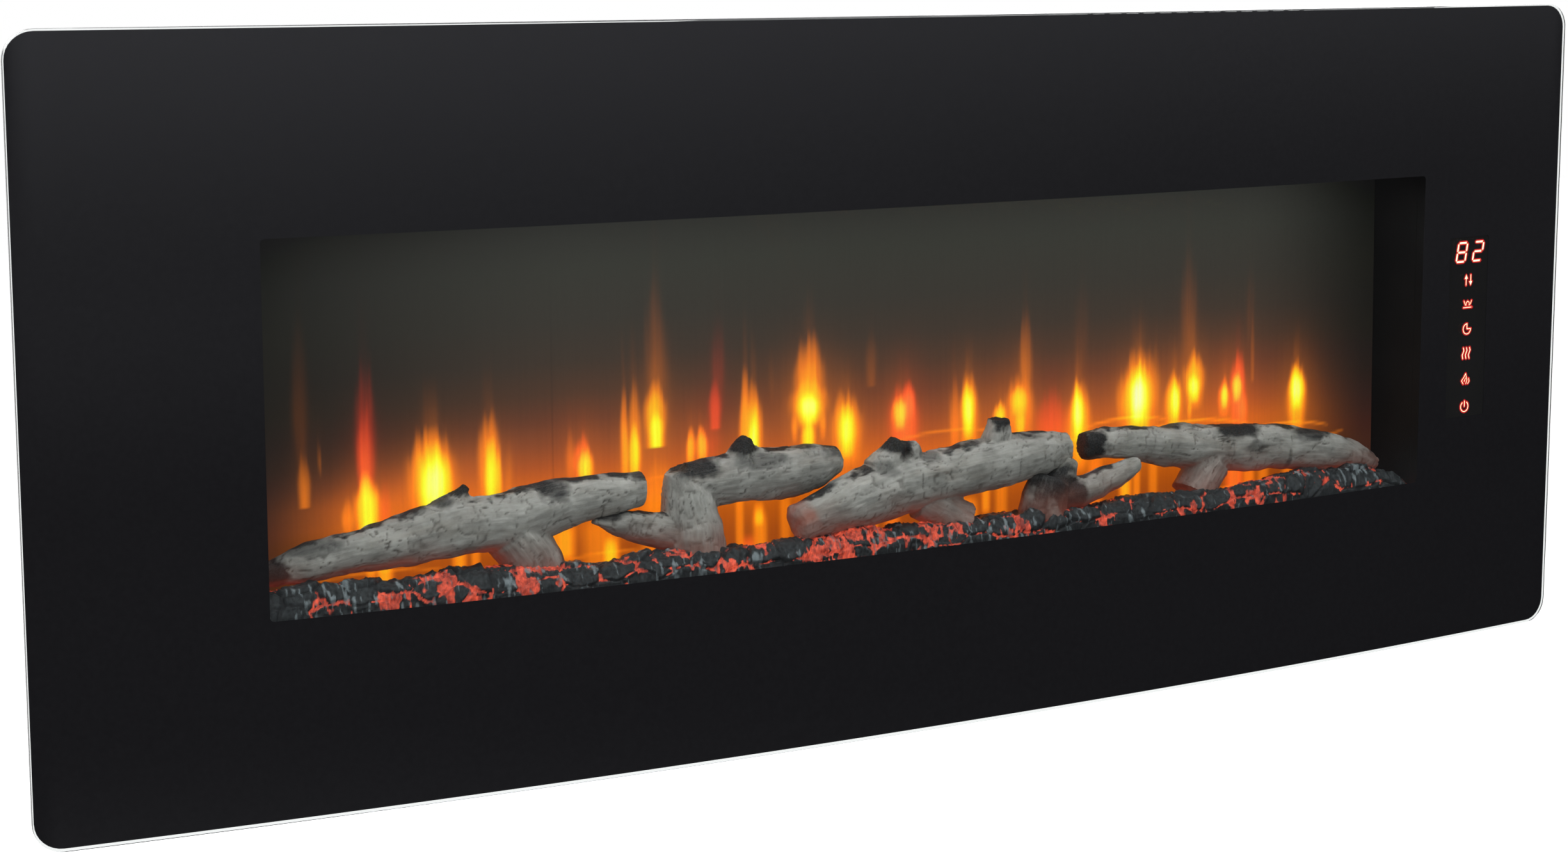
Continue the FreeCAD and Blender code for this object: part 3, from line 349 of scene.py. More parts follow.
def stove_paint():
    """Matt black paint inside the firebox."""
    t = Tree("stove_paint")
    fine = t.noise(1100.0, 2.0, 0.6)
    colour = t.mix(t.vary(t.noise(25.0)), (0.0042, 0.004, 0.004), (0.0068, 0.0065, 0.0064))
    return t.paint(Base_Color=colour, Roughness=t.vary(fine, 0.62, 0.75), Specular_IOR_Level=0.25,
                   Normal=t.bump(fine, 0.3, 0.0003))


def circuit_board():
    """Green solder mask over copper tracks, with bare pads."""
    t = Tree("circuit_board")
    bricks = t.node("TexBrick", {"offset": 0.35}, Vector=t.scaled(260.0), Scale=1.0, Mortar_Size=0.06)
    tracks = bricks.outputs["Fac"]
    pads = t.span(t.voronoi(240.0), 0.1, 0.14, 1.0, 0.0)
    mask = t.mix(tracks, (0.012, 0.085, 0.035), (0.02, 0.15, 0.06))
    return t.paint(Base_Color=t.mix(pads, mask, (0.55, 0.5, 0.38)), Metallic=t.math("MULTIPLY", pads, 0.8),
                   Roughness=t.vary(t.noise(90.0), 0.28, 0.42), Normal=t.bump(tracks, 0.2, 0.0002))


def led_board():
    """White board with a warm spot at each LED."""
    t = Tree("led_board")
    dots = t.span(t.voronoi((105.0, 400.0, 400.0)), 0.25, 0.4, 1.0, 0.0)
    return t.paint(Base_Color=t.mix(dots, (0.76, 0.75, 0.7), (0.85, 0.62, 0.22)),
                   Roughness=t.vary(t.noise(200.0), 0.3, 0.45))


def copper_coil():
    """Enamelled wire, turn over turn."""
    t = Tree("copper_coil")
    wave = t.node("TexWave", {"wave_type": "BANDS", "bands_direction": "Z"}, Vector=t.scaled(1200.0),
                  Scale=1.0, Distortion=1.2, Detail=2.0)
    turns = wave.outputs["Fac"]
    return t.paint(Base_Color=t.mix(turns, (0.32, 0.1, 0.03), (0.72, 0.3, 0.1)), Metallic=0.85,
                   Roughness=t.vary(t.noise(300.0), 0.3, 0.45), Normal=t.bump(turns, 0.6, 0.0004))


def component_mix():
    """Relays, capacitors and coils: each place along the board has its own black or blue case."""
    t = Tree("component_mix")
    tone = t.node("SeparateColor", Color=t.voronoi((28.0, 0.0, 0.0), "Color")).outputs[0]
    colour = t.mix(t.span(tone, 0.45, 0.55), (0.018, 0.018, 0.022), (0.035, 0.07, 0.16))
    colour = t.mix(t.span(t.noise(800.0), 0.4, 0.6, 0.0, 0.25), colour, (0.08, 0.08, 0.08))
    return t.paint(Base_Color=colour, Roughness=t.vary(t.noise(60.0), 0.35, 0.55))


# Bare metals: dark and light tone, least and most roughness, grain, bump.
METALS = {
    "zinc_steel": ((0.2, 0.215, 0.235), (0.4, 0.41, 0.43), (0.3, 0.48), 95.0, 0.15),
    "core_steel": ((0.24, 0.25, 0.27), (0.4, 0.41, 0.43), (0.4, 0.6), (2400.0, 60.0, 60.0), 0.4),
    "bright_steel": ((0.6, 0.6, 0.6), (0.75, 0.75, 0.74), (0.18, 0.3), (60.0, 900.0, 900.0), 0.15),
    "foil_mirror": ((0.78, 0.78, 0.8), (0.86, 0.86, 0.88), (0.06, 0.16), (90.0, 500.0, 90.0), 0.5),
    "mirror_sheet": ((0.72, 0.73, 0.75), (0.8, 0.81, 0.83), (0.05, 0.12), (12.0, 12.0, 300.0), 0.06),
    "aluminium_fins": ((0.66, 0.67, 0.68), (0.8, 0.81, 0.82), (0.2, 0.34), (40.0, 700.0, 700.0), 0.15),
}
# Plastics, rubber, foam and film: dark and light tone, grain, least and most roughness, bump, specular level.
MOULDED = {
    "smoked_film": ((0.0142, 0.0132, 0.0137), (0.0168, 0.0158, 0.0163), 500.0, (0.5, 0.6), 0.05, 0.0),
    "foam_tape": ((0.014, 0.014, 0.014), (0.035, 0.035, 0.035), 1500.0, (0.85, 0.95), 0.8, 0.2),
    "rubber_black": ((0.016, 0.016, 0.016), (0.03, 0.03, 0.03), 900.0, (0.6, 0.75), 0.4, 0.5),
    "harness_black": ((0.014, 0.014, 0.015), (0.03, 0.03, 0.032), 600.0, (0.4, 0.5), 0.3, 0.5),
    "black_plastic": ((0.012, 0.012, 0.013), (0.024, 0.024, 0.026), 1100.0, (0.38, 0.5), 0.35, 0.5),
    "white_nylon": ((0.62, 0.61, 0.56), (0.76, 0.75, 0.7), 500.0, (0.4, 0.5), 0.15, 0.5),
    "ceramic_white": ((0.6, 0.58, 0.52), (0.74, 0.72, 0.66), 500.0, (0.75, 0.9), 0.5, 0.3),
}
# The finish of each CAD material slot that stays in sight.
FINISHES = {
    "black_print": black_print(), "firebox_black": stove_paint(), "case_paint": case_paint(),
    "led_board": led_board(), "circuit_board": circuit_board(), "component_mix": component_mix(),
    "copper_coil": copper_coil(),
}
FINISHES.update({name: metal(name, *look) for name, look in METALS.items()})
FINISHES.update({name: moulded(name, *look) for name, look in MOULDED.items()})
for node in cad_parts.values():
    for mesh_slot in node.material_slots:
        slot_name = mesh_slot.material.name.split(".")[0]
        mesh_slot.material = FINISHES.get(slot_name, mesh_slot.material)


# ---- glass front ----
def bowed_y(x, depth):
    """Y of the layer that lies that far behind the glass's front face."""
    return AXIS_Y - np.sqrt((FRONT_R - depth) ** 2 - np.asarray(x) ** 2)


def upper_outline(inset, radius=20.0, steps=10, across=72):
    """The upper half of the pane's outline, left to right, as (x, z) pairs."""
    hx, hz, r = HALF_X - inset, HALF_Z - inset, radius - inset
    turn = [math.radians(180 - 90 * k / steps) for k in range(steps + 1)]
    left = [(-hx + r + r * math.cos(a), hz - r + r * math.sin(a)) for a in turn]
    middle = [(-hx + r + 2 * (hx - r) * k / across, hz) for k in range(1, across)]
    right = [(-x, z) for x, z in reversed(left)]
    return left + middle + right


def glass_pane():
    """Bowed float glass with its whole rim ground to a fine polished arris."""
    rear = GLASS_T + PRINT_BITE
    rim = [(ARRIS, 0.0), (ARRIS_SIDE, ARRIS_DEEP), (0.0, ARRIS)]
    loops = []
    for inset, depth in rim + [(inset, rear - depth) for inset, depth in reversed(rim)]:
        top = upper_outline(inset)
        ring = top + [(x, -z) for x, z in reversed(top)]
        loops.append([(x, float(bowed_y(x, depth)), z) for x, z in ring])
    count = len(loops[0])
    verts = [p for loop in loops for p in loop]
    index = np.arange(len(verts)).reshape(len(loops), count)
    faces = grid_faces(np.hstack([index, index[:, :1]])).tolist()
    half = count // 2
    last = (len(loops) - 1) * count
    for i in range(half - 1):
        faces.append((i, count - 1 - i, count - 2 - i, i + 1))
        faces.append((last + i, last + i + 1, last + count - 2 - i, last + count - 1 - i))
    return mesh_object("glass_pane", verts, faces, sharp=24)


def clear_glass():
    """Glass that lets shadow rays and diffuse rays straight through, so that the firebox stays lit."""
    t = Tree("clear_glass")
    body = t.principled(Base_Color=(0.965, 0.99, 0.98), Roughness=0.0, IOR=1.5, Transmission_Weight=1.0)
    clear = t.node("BsdfTransparent", Color=(0.965, 0.985, 0.975, 1.0)).outputs[0]
    ray = t.node("LightPath").outputs
    return t.finish(t.choose(ray["Is Shadow Ray"], t.choose(ray["Is Diffuse Ray"], body, clear), clear))


finish_piece(glass_pane(), clear_glass(), replaces="front_glass")


# ---- flame screen ----
# Each flame: x, foot, tip, half width, heat, redness, and a 1 if its foot is crisp.
FLAMES = [
    (-442, -44, 64, 5, 0.03, 0.1), (-441, -64, -26, 3.4, 0.34, 0.05, 1), (-430, -44, -16, 1, 0.1, 0),
    (-410, -84, -60, 3.6, 0.6, 0.1), (-396, -56, 34, 6, 0.22, 0.95), (-397, -66, 2, 4.6, 0.5, 0.88),
    (-396, -88, -45, 6.2, 3.4, 0.05, 1), (-384, -84, -50, 4, 0.3, 0.9), (-349, -84, -17, 12, 1.8, 0.08),
    (-348, -84, -27, 7.6, 3.6, 0), (-338, -76, -36, 4, 1.2, 0), (-306, -84, -9, 5.8, 1, 0.1),
    (-305, -84, -28, 3.8, 2.6, 0), (-299, -80, -34, 1.6, 1, 0), (-292, -70, -28, 3, 0.14, 0),
    (-245, -64, -26, 3.4, 0.35, 0.3), (-236, -66, -31, 5.4, 0.9, 0.7), (-233, -70, -40, 4.8, 2.5, 0.05),
    (-202, -84, -6, 2.6, 0.9, 0.1), (-195, -84, -2, 5, 0.8, 0.05), (-195, -68, -29, 3.6, 1.9, 0),
    (-178, -46, 0, 6.6, 1.4, 0, 1), (-177, -46, -20, 4.2, 2.4, 0, 1), (-176, -34, 76, 7.4, 0.1, 0.1),
    (-176, -92, -50, 8, 0.4, 0), (-150, -64, -34, 2.8, 1.3, 0.2), (-141, -62, -33, 3.6, 1.8, 0.3),
    (-129, -38, -2, 4.4, 0.55, 0.95, 1), (-126, -26, 46, 5, 0.08, 0.95), (-134, -58, -28, 8, 0.2, 0.9),
    (-105, -80, 0, 3.6, 1.1, 0.1), (-97, -80, -3, 4.8, 1.5, 0.05), (-98, -74, -22, 3.2, 2.8, 0),
    (-82, -24, 20, 2, 0.025, 0), (-51, -44, 22, 9, 0.9, 0.1), (-51, -42, -6, 11.5, 1.3, 0.05),
    (-51, -40, -16, 7.6, 3.4, 0), (-52, -64, -33, 4.8, 2.9, 0, 1), (-64, -52, -27, 2.2, 0.7, 0.1),
    (-39, -52, -27, 2.2, 0.6, 0.1), (-19, -70, -18, 9.6, 1.2, 0.05), (-19, -66, -25, 5.4, 3, 0),
    (2, -18, 26, 4, 0.06, 0.1, 1), (31, -72, -16, 10, 1, 0.85), (27, -50, -25, 5, 2.2, 0.15),
    (35, -44, -15, 5, 0.9, 0.9), (76, -72, -14, 4, 0.5, 0.2), (89, -70, -12, 6.6, 1.2, 0.05),
    (88, -60, -19, 4.6, 2.9, 0), (117, -60, -36, 4.6, 2.4, 0.05), (135, -68, -16, 9.5, 0.95, 0.15),
    (141, -46, 30, 4.6, 0.3, 0.1), (134, -48, -25, 5.5, 1.6, 0.05), (135, -66, -43, 3, 1.2, 0),
    (165, -74, -30, 13, 0.5, 0.95), (190, -92, -26, 7.8, 1.7, 0.05), (189, -70, -27, 4.6, 3.2, 0),
    (192, -26, 54, 6, 0.022, 0.2), (247, -76, -6, 14, 1.2, 0.08), (247, -70, -14, 10, 2.8, 0),
    (247, -62, -20, 6, 2.6, 0), (264, -52, -4, 4, 0.2, 0), (231, -62, -22, 4, 0.35, 0),
    (282, -70, -26, 6.2, 1.9, 0.05), (284, -64, -31, 3.6, 2.8, 0), (302, -55, -12, 7.6, 1.5, 0.05),
    (302, -51, -27, 4.6, 3, 0), (297, -40, 74, 6.6, 0.09, 0.1), (298, -64, -47, 2, 0.8, 0),
    (332, -64, -34, 4.6, 1.5, 0.5), (333, -58, -37, 2.8, 2.4, 0.1), (346, -74, -16, 6, 1, 0.9),
    (345, -54, -31, 3.6, 2.4, 0.15), (351, -74, -43, 4, 0.8, 0.7), (361, -40, 14, 1.8, 0.1, 0.1, 1),
    (358, -14, 54, 4, 0.022, 0.2), (406, -84, -28, 7.4, 1.6, 0.05), (406, -64, -30, 5.6, 4, 0),
]
# Bright columns low on the screen, behind the logs: x, foot, top, half width, brightness, redness.
COLUMNS = [
    (-395, -139, -84, 3, 0.9, 0), (-385, -139, -100, 5, 1.7, 0), (-330, -139, -92, 4.5, 1.3, 0),
    (-318, -139, -88, 3, 0.8, 0), (-262, -124, -88, 8, 1.3, 0), (-249, -118, -90, 6, 1.6, 0),
    (-214, -136, -104, 5, 2.4, 0), (-222, -139, -90, 12, 0.7, 0), (-180, -139, -80, 9, 0.6, 0),
    (-110, -139, -82, 3, 0.8, 0), (-103, -139, -114, 5, 1, 0.7), (-94, -108, -92, 3.6, 2.2, 0),
    (-93, -139, -98, 5, 1, 0), (-72, -139, -86, 4, 0.5, 0), (2, -139, -96, 4.5, 1.3, 0),
    (20, -139, -92, 6, 0.7, 0.3), (80, -139, -86, 4, 0.9, 0), (88, -139, -104, 7, 1.5, 0),
    (104, -118, -90, 3.2, 1.2, 0), (118, -139, -84, 5, 0.6, 0), (172, -108, -84, 12, 1, 0.8),
    (190, -139, -112, 8, 1.4, 0.75), (206, -139, -82, 6, 0.7, 0.2), (235, -139, -88, 5, 1.9, 0),
    (246, -139, -86, 3, 0.9, 0), (262, -120, -84, 4, 0.6, 0), (306, -139, -90, 5, 0.7, 0.2),
    (343, -139, -96, 8, 1.2, 0.65), (358, -139, -100, 5, 0.9, 0.2), (372, -139, -90, 5, 0.6, 0.1),
    (398, -139, -92, 6, 0.6, 0.1),
]
# Thin arcs of reflected light: middle x, height of the ends, half length, rise, brightness.
ARCS = [
    (-390, -116, 60, 5, 0.5), (-300, -126, 70, -7, 0.5), (-215, -121, 55, 6, 0.6), (-95, -127, 55, -6, 0.5),
    (-10, -128, 60, 5, 0.6), (95, -131, 60, -5, 0.6), (196, -112, 45, 6, 0.7), (215, -125, 60, -8, 0.7),
    (70, -62, 62, 8, 0.7), (186, -66, 48, -5, 1.3), (236, -62, 40, 4, 1.5), (300, -72, 60, 7, 1.5),
    (330, -76, 60, -5, 1.3), (392, -79, 48, 5, 1.3), (420, -84, 36, -4, 0.9), (350, -124, 52, 6, 0.7),
    (-170, -74, 40, 7, 0.5), (-40, -78, 46, -5, 0.5),
]
# Seams in the reflector behind the screen: x, strength, the heights between which each fades out.
SEAMS = [(-199, 0.45, -30, 10), (-258, 0.22, 20, 90)]
# The screen's own glow at each height, as display colours: where the light is warm and at its cold ends.
GLOW = [
    (-139, (150, 68, 6), (60, 34, 30)), (-112, (164, 76, 6), (62, 36, 30)), (-94, (186, 88, 8), (66, 40, 32)),
    (-80, (224, 107, 32), (62, 37, 32)), (-66, (212, 100, 36), (54, 36, 32)),
    (-52, (174, 84, 41), (48, 35, 32)), (-38, (139, 73, 44), (42, 34, 31)),
    (-22, (107, 62, 44), (38, 33, 31)), (-4, (81, 57, 45), (35, 33, 30)),
    (18, (63, 53, 46), (33, 32, 30)), (45, (54, 51, 46), (32, 32, 29)), (80, (49, 50, 45), (28, 29, 27)),
    (108, (43, 44, 41), (22, 23, 21)), (128, (37, 38, 36), (18, 19, 17)),
]
ROOM_HAZE = 0.0085  # light that the glass adds in front of the screen, taken off the glow


def backdrop(x, z):
    """The glow between the flames, from smoke grey at the top to amber at the foot."""
    heights, warm, cold = (np.array(column, float) for column in zip(*GLOW))
    share = smooth(-486, -225 - 150 * smooth(-10, -70, z), x) * (1 - smooth(345, 480, x))
    share = share ** 0.85
    colour = np.zeros((len(x), 3))
    for c in range(3):
        w, k = np.interp(z, heights, warm[:, c]), np.interp(z, heights, cold[:, c])
        colour[:, c] = k + (w - k) * share
    return np.maximum(linear(colour) - ROOM_HAZE, 0.0008)


def strands(x, scale, offset):
    """Vertical brush strokes: noise that depends on x alone."""
    return noise(np.column_stack([x / scale + 17.3 * offset, np.zeros((len(x), 2))]), 4)


def tongue(x, z, flame, order):
    """Heat of one flame at each point: a stroke-edged body that narrows to its tip, and a faint tail."""
    centre, foot, tip, half, heat, _, *crisp = flame
    near = np.abs(x - centre) < 4.5 * half + 6
    out = np.zeros(len(x))
    px, pz = x[near], z[near]
    lean = 0.03 * (noise(np.array([[order * 3.7, 0.0, 0.0]]), 9)[0] - 0.5)
    reach = (tip - foot) * (0.84 + 0.16 * strands(px, 2.2, order))
    t = (pz - foot) / reach
    width = half * (0.86 + 0.2 * np.exp(-((t - 0.5) / 0.3) ** 2)) * (1 - 0.42 * smooth(0.65, 1.15, t))
    across = np.exp(-np.abs((px - centre - lean * (pz - foot)) / width) ** 3.0)
    rise = smooth(-0.02, 0.03, t) if crisp else smooth(-0.1, 0.16, t) * (0.5 + 0.5 * smooth(0.05, 0.45, t))
    fall = 1 - smooth(0.6 * min(heat, 1.0), 1.12, t)
    tail = 0.02 * smooth(0.4, 0.9, t) * (1 - smooth(0.9, 1.7, t))
    body = across * rise * (fall * heat + tail * min(heat, 2.0))
    out[near] = body * (0.82 + 0.36 * strands(px, 1.3, order + 0.5))
    return out


def screen_light(x, z):
    """The light that leaves the screen at each point: glow, flames, columns, arcs and seams."""
    wander = (fractal(np.column_stack([x * 0.08, z * 0.02, x * 0]), 3, 5) - 0.5) * 2
    xw = x + wander * 1.4
    amber, red_heat = np.zeros(len(x)), np.zeros(len(x))
    for i, flame in enumerate(FLAMES):
        centre, foot, tip, half, heat, red = flame[:6]
        body = tongue(xw, z, flame, i)
        heart = foot + 0.3 * (tip - foot)
        halo = np.exp(-((x - centre) / (half * 2.4 + 3)) ** 2 - ((z - heart) / 32.0) ** 2)
        body += halo * 0.024 * min(heat, 2.5)
        amber += body * (1 - red)
        red_heat += body * red
    for centre, foot, top, half, heat, red in COLUMNS:
        body = np.exp(-np.abs((x - centre) / half) ** 3.0) * smooth(foot - 2, foot + 6, z)
        body *= (1 - smooth(top - 10, top + 3, z)) * heat * 0.62
        amber += body * (1 - red)
        red_heat += body * red
    for centre, height, reach, rise, heat in ARCS:
        u = (x - centre) / reach
        line = height + rise * (1 - u * u)
        amber += np.exp(-((z - line) / 0.9) ** 2) * np.clip(1 - u * u, 0, 1) ** 0.7 * heat * 0.5
    light = backdrop(x, z) * np.exp(-1.1 * (amber + red_heat))[:, None]
    bright = 1 - np.exp(-2.1 * amber)
    light[:, 0] += bright
    light[:, 1] += 0.235 * bright + 0.24 * np.maximum(amber - 0.55, 0)
    light[:, 2] += 0.004 * amber + 0.03 * np.maximum(amber - 3.0, 0) ** 2
    light += (1 - np.exp(-1.7 * red_heat))[:, None] * np.array([1.0, 0.0, 0.0])
    light += red_heat[:, None] * np.array([0.0, 0.06, 0.022])
    for seam, strength, fade_from, fade_to in SEAMS:
        line = strength * np.exp(-((x - seam) / 0.6) ** 2) * smooth(-96, -60, z)
        light *= (1 - line * (1 - smooth(fade_from, fade_to, z)))[:, None]
    # painted shade: a darker band along the top of the screen
    light *= (1 - 0.55 * smooth(118, 126, z))[:, None]
    return np.clip(light, 0, 1)


def flame_screen():
    """Frosted sheet: a fine grid in front, so that the light can vary over it, and a plain back."""
    nx, nz = 800, 150
    xs = np.linspace(screen_lo.x * 1000, screen_hi.x * 1000, nx)
    zs = np.linspace((screen_lo.z - PANEL_Z) * 1000, (screen_hi.z - PANEL_Z) * 1000, nz)
    gx, gz = np.meshgrid(xs, zs)
    front = np.column_stack([gx.ravel(), np.full(gx.size, screen_lo.y * 1000), gz.ravel()])
    index = np.arange(nx * nz).reshape(nz, nx)
    quads = grid_faces(index)
    rim = np.concatenate([index[0, :], index[1:, -1], index[-1, -2::-1], index[-2:0:-1, 0]])
    back = front[rim].copy()
    back[:, 1] = screen_hi.y * 1000
    start = len(front)
    ring = np.arange(len(rim))
    nxt = np.roll(ring, -1)
    sides = np.column_stack([rim[nxt], rim[ring], start + ring, start + nxt])
    faces = quads.tolist() + sides.tolist() + [list(range(start, start + len(rim)))]
    obj = mesh_object("flame_screen_panel", np.vstack([front, back]), faces, sharp=40)
    light = screen_light(front[:, 0], front[:, 2])
    rear = np.tile(linear((70, 46, 30)), (len(rim), 1))
    attribute(obj, "flame_light", np.vstack([light, rear]))
    return obj


def screen_material():
    """Frosted plastic that shows the light stored in flame_light, with faint streaks and frost."""
    t = Tree("flame_screen")
    streaks = t.span(t.noise((420.0, 1.0, 14.0), 2.0), 0.25, 0.75, 0.95, 1.05)
    frost = t.span(t.noise(1700.0, 1.0), 0.25, 0.75, 0.96, 1.04)
    light = t.node("VectorMath", {"operation": "SCALE"}, i0=t.attr("flame_light", "Color"),
                   i3=t.math("MULTIPLY", streaks, frost)).outputs[0]
    return t.paint(Base_Color=(0.012, 0.011, 0.01), Specular_IOR_Level=0.15, Emission_Color=light,
                   Roughness=t.vary(t.noise(500.0), 0.5, 0.65), Emission_Strength=1.08)


finish_piece(flame_screen(), screen_material(), replaces="flame_screen")


# ---- logs ----
BARK_CELL = 1.25  # size of the cells in which a log's limbs are joined into one skin
LIMB_SHIFT = 200.0  # run added from limb to limb, so that no two share their grain
# Each limb is a list of stations: (x, y, z, radius).
LOGS = {
    "log_1": [
        [(-481, -93, -102, 8), (-455, -93, -97, 13), (-420, -92, -92, 15), (-380, -92, -88, 17.5),
         (-340, -92, -81.5, 20), (-300, -92, -82, 20.5), (-262, -92, -73, 16.5), (-230, -91, -70.5, 15),
         (-200, -90, -69, 12)],
        [(-300, -92, -90, 20), (-288, -91, -106, 21), (-284, -90, -119, 22)],
        [(-368, -92, -80, 10), (-350, -92, -70, 10), (-338, -92, -61, 8), (-333, -92, -54, 4)],
    ],
    "log_2": [
        [(-165, -88, -70, 17), (-140, -87, -69, 18), (-110, -86, -68, 18.5), (-80, -85, -68, 18),
         (-55, -85, -66, 15.5), (-36, -85, -62.5, 10)],
        [(-170, -90, -58, 12), (-163, -90, -84, 20), (-160, -92, -105, 23), (-160, -93, -122, 25)],
        [(-175, -92, -103, 14), (-200, -94, -97, 11.5), (-222, -96, -90, 8), (-242, -97, -86, 4)],
        [(-122, -87, -60, 13), (-118, -87, -50, 11), (-115, -87, -44, 8), (-114, -87, -41, 4)],
        [(-116, -87, -58, 11), (-103, -87, -53, 6)],
    ],
    "log_3": [
        [(-83, -105, -104, 14), (-60, -102, -99, 17), (-30, -99, -92, 20), (0, -97, -86, 22),
         (30, -96, -83, 21), (60, -95, -79.5, 19.5), (100, -95, -74.5, 19.5), (135, -94, -71.5, 17),
         (160, -93, -70.5, 11)],
        [(26, -97, -98, 14), (50, -98, -111, 15), (62, -99, -119, 18)],
        [(-8, -97, -74, 14), (2, -97, -62, 11), (8, -97, -53, 8)],
        [(16, -97, -62, 11), (24, -97, -58, 6)],
        [(96, -95, -58, 12), (97, -95, -43, 9)],
    ],
    "log_4": [
        [(140, -101, -94, 16), (134, -102, -108, 19), (131, -102, -122, 20)],
        [(150, -101, -105, 13), (175, -102, -102, 11.5), (200, -102, -94, 10.5), (221, -101, -88, 5.5)],
        [(146, -100, -100, 13), (159, -99, -80, 8)],
    ],
    "log_5": [
        [(179, -88, -71.5, 10.5), (200, -88, -71.5, 12.5), (225, -88, -73, 14.5), (260, -88, -78, 16),
         (300, -88, -84, 18.5), (330, -88, -86, 20), (365, -89, -88.5, 18), (400, -90, -93, 17.5),
         (430, -91, -99, 15.5), (455, -92, -106, 10.5), (468, -92, -110.5, 5)],
        [(302, -89, -94, 18), (292, -89, -106, 18), (285, -89, -118, 20)],
    ],
}
# Charred places: x, z, reach along x, reach along z, strength.
CHARS = {
    "log_1": [
        (-478, -100, 16, 16, 1), (-450, -84, 26, 8, 0.6), (-338, -52, 16, 13, 1),
        (-352, -62, 12, 6, 0.7), (-272, -62, 15, 9, 0.75), (-203, -58, 14, 5, 0.8),
        (-196, -68, 4, 14, 0.8), (-284, -118, 10, 8, 0.5), (-264, -108, 8, 9, 0.7),
    ],
    "log_2": [
        (-160, -56, 24, 10, 0.85), (-118, -44, 13, 13, 1), (-110, -56, 22, 7, 0.6),
        (-40, -54, 16, 9, 0.7), (-232, -84, 14, 4, 0.8), (-172, -112, 10, 8, 0.5),
    ],
    "log_3": [
        (6, -52, 17, 12, 1), (-10, -68, 12, 8, 0.5), (97, -42, 12, 11, 1), (120, -57, 14, 4, 0.5),
        (165, -60, 7, 8, 0.6), (30, -62, 14, 8, 0.5),
    ],
    "log_4": [
        (148, -104, 20, 24, 1), (134, -94, 26, 16, 0.85), (120, -118, 12, 12, 0.7),
        (160, -118, 10, 9, 0.9),
    ],
    "log_5": [
        (182, -72, 16, 15, 1), (322, -68, 26, 10, 0.95), (336, -84, 16, 6, 0.55),
        (396, -78, 26, 7, 0.8), (262, -112, 12, 8, 0.8), (462, -102, 10, 6, 0.5), (368, -98, 3, 8, 0.6),
    ],
}


def limb_tube(stations, verts, faces, sides=28):
    """A round limb along its stations, domed at both ends."""
    p = np.array([s[:3] for s in stations], float)
    r = np.array([s[3] for s in stations], float)
    run = np.concatenate([[0], np.cumsum(np.linalg.norm(np.diff(p, axis=0), axis=1))])
    fine = np.linspace(0, run[-1], max(int(run[-1] / 4), 4) + 1)
    path = np.column_stack([np.interp(fine, run, p[:, k]) for k in range(3)])
    size = np.interp(fine, run, r)
    relax(path, 3)
    relax(size, 3)
    tangent = np.gradient(path, axis=0)
    tangent /= np.linalg.norm(tangent, axis=1)[:, None]
    start_t, end_t = tangent[0], tangent[-1]
    dome = [(0.1, 0.72), (0.02, 0.9), (0.0, 0.98)]
    head = [(path[0] - start_t * size[0] * d, size[0] * k, start_t) for d, k in dome]
    tail = [(path[-1] + end_t * size[-1] * d, size[-1] * k, end_t) for d, k in reversed(dome)]
    rings = head + [(path[i], size[i], tangent[i]) for i in range(len(path))] + tail
    base = len(verts)
    for centre, radius, t in rings:
        u = np.cross(t, (0, 1, 0))
        u /= np.linalg.norm(u)
        v = np.cross(t, u)
        for k in range(sides):
            a = 2 * math.pi * k / sides
            verts.append(centre + radius * (math.cos(a) * u + math.sin(a) * v))
    for i in range(len(rings) - 1):
        for k in range(sides):
            j = (k + 1) % sides
            a, b = base + i * sides, base + (i + 1) * sides
            faces.append((a + k, b + k, b + j, a + j))
    faces.append([base + k for k in range(sides)])
    faces.append([base + (len(rings) - 1) * sides + sides - 1 - k for k in range(sides)])


def voxel_union(obj, size):
    """One closed skin round overlapping tubes, from cells of that size in millimetres."""
    mod = obj.modifiers.new("union", "REMESH")
    mod.mode, mod.voxel_size = "VOXEL", size * 0.001
    mod.use_smooth_shade = True
    graph = bpy.context.evaluated_depsgraph_get()
    mesh = bpy.data.meshes.new_from_object(obj.evaluated_get(graph))
    obj.modifiers.clear()
    old = obj.data
    obj.data = mesh
    bpy.data.meshes.remove(old)


def limb_frame(p, limbs):
    """For each point: its run along the nearest limb, its offset from the axis, and the axis's direction."""
    best = np.full(len(p), np.inf)
    along, off, dirs = np.zeros(len(p)), np.zeros((len(p), 3)), np.zeros((len(p), 3))
    shift = 0.0
    for stations in limbs:
        pts = np.array([s[:3] for s in stations], float)
        rad = np.array([s[3] for s in stations], float)
        run = 0.0
        for i in range(len(pts) - 1):
            d = pts[i + 1] - pts[i]
            length = np.linalg.norm(d)
            t = np.clip(((p - pts[i]) @ d) / length ** 2, 0, 1)
            o = p - (pts[i] + t[:, None] * d)
            gap = np.linalg.norm(o, axis=1) - (rad[i] + t * (rad[i + 1] - rad[i]))
            hit = gap < best
            best = np.where(hit, gap, best)
            along = np.where(hit, shift + run + t * length, along)
            off[hit] = o[hit]
            dirs[hit] = d / length
            run += length
        shift += LIMB_SHIFT
    return along, off, dirs


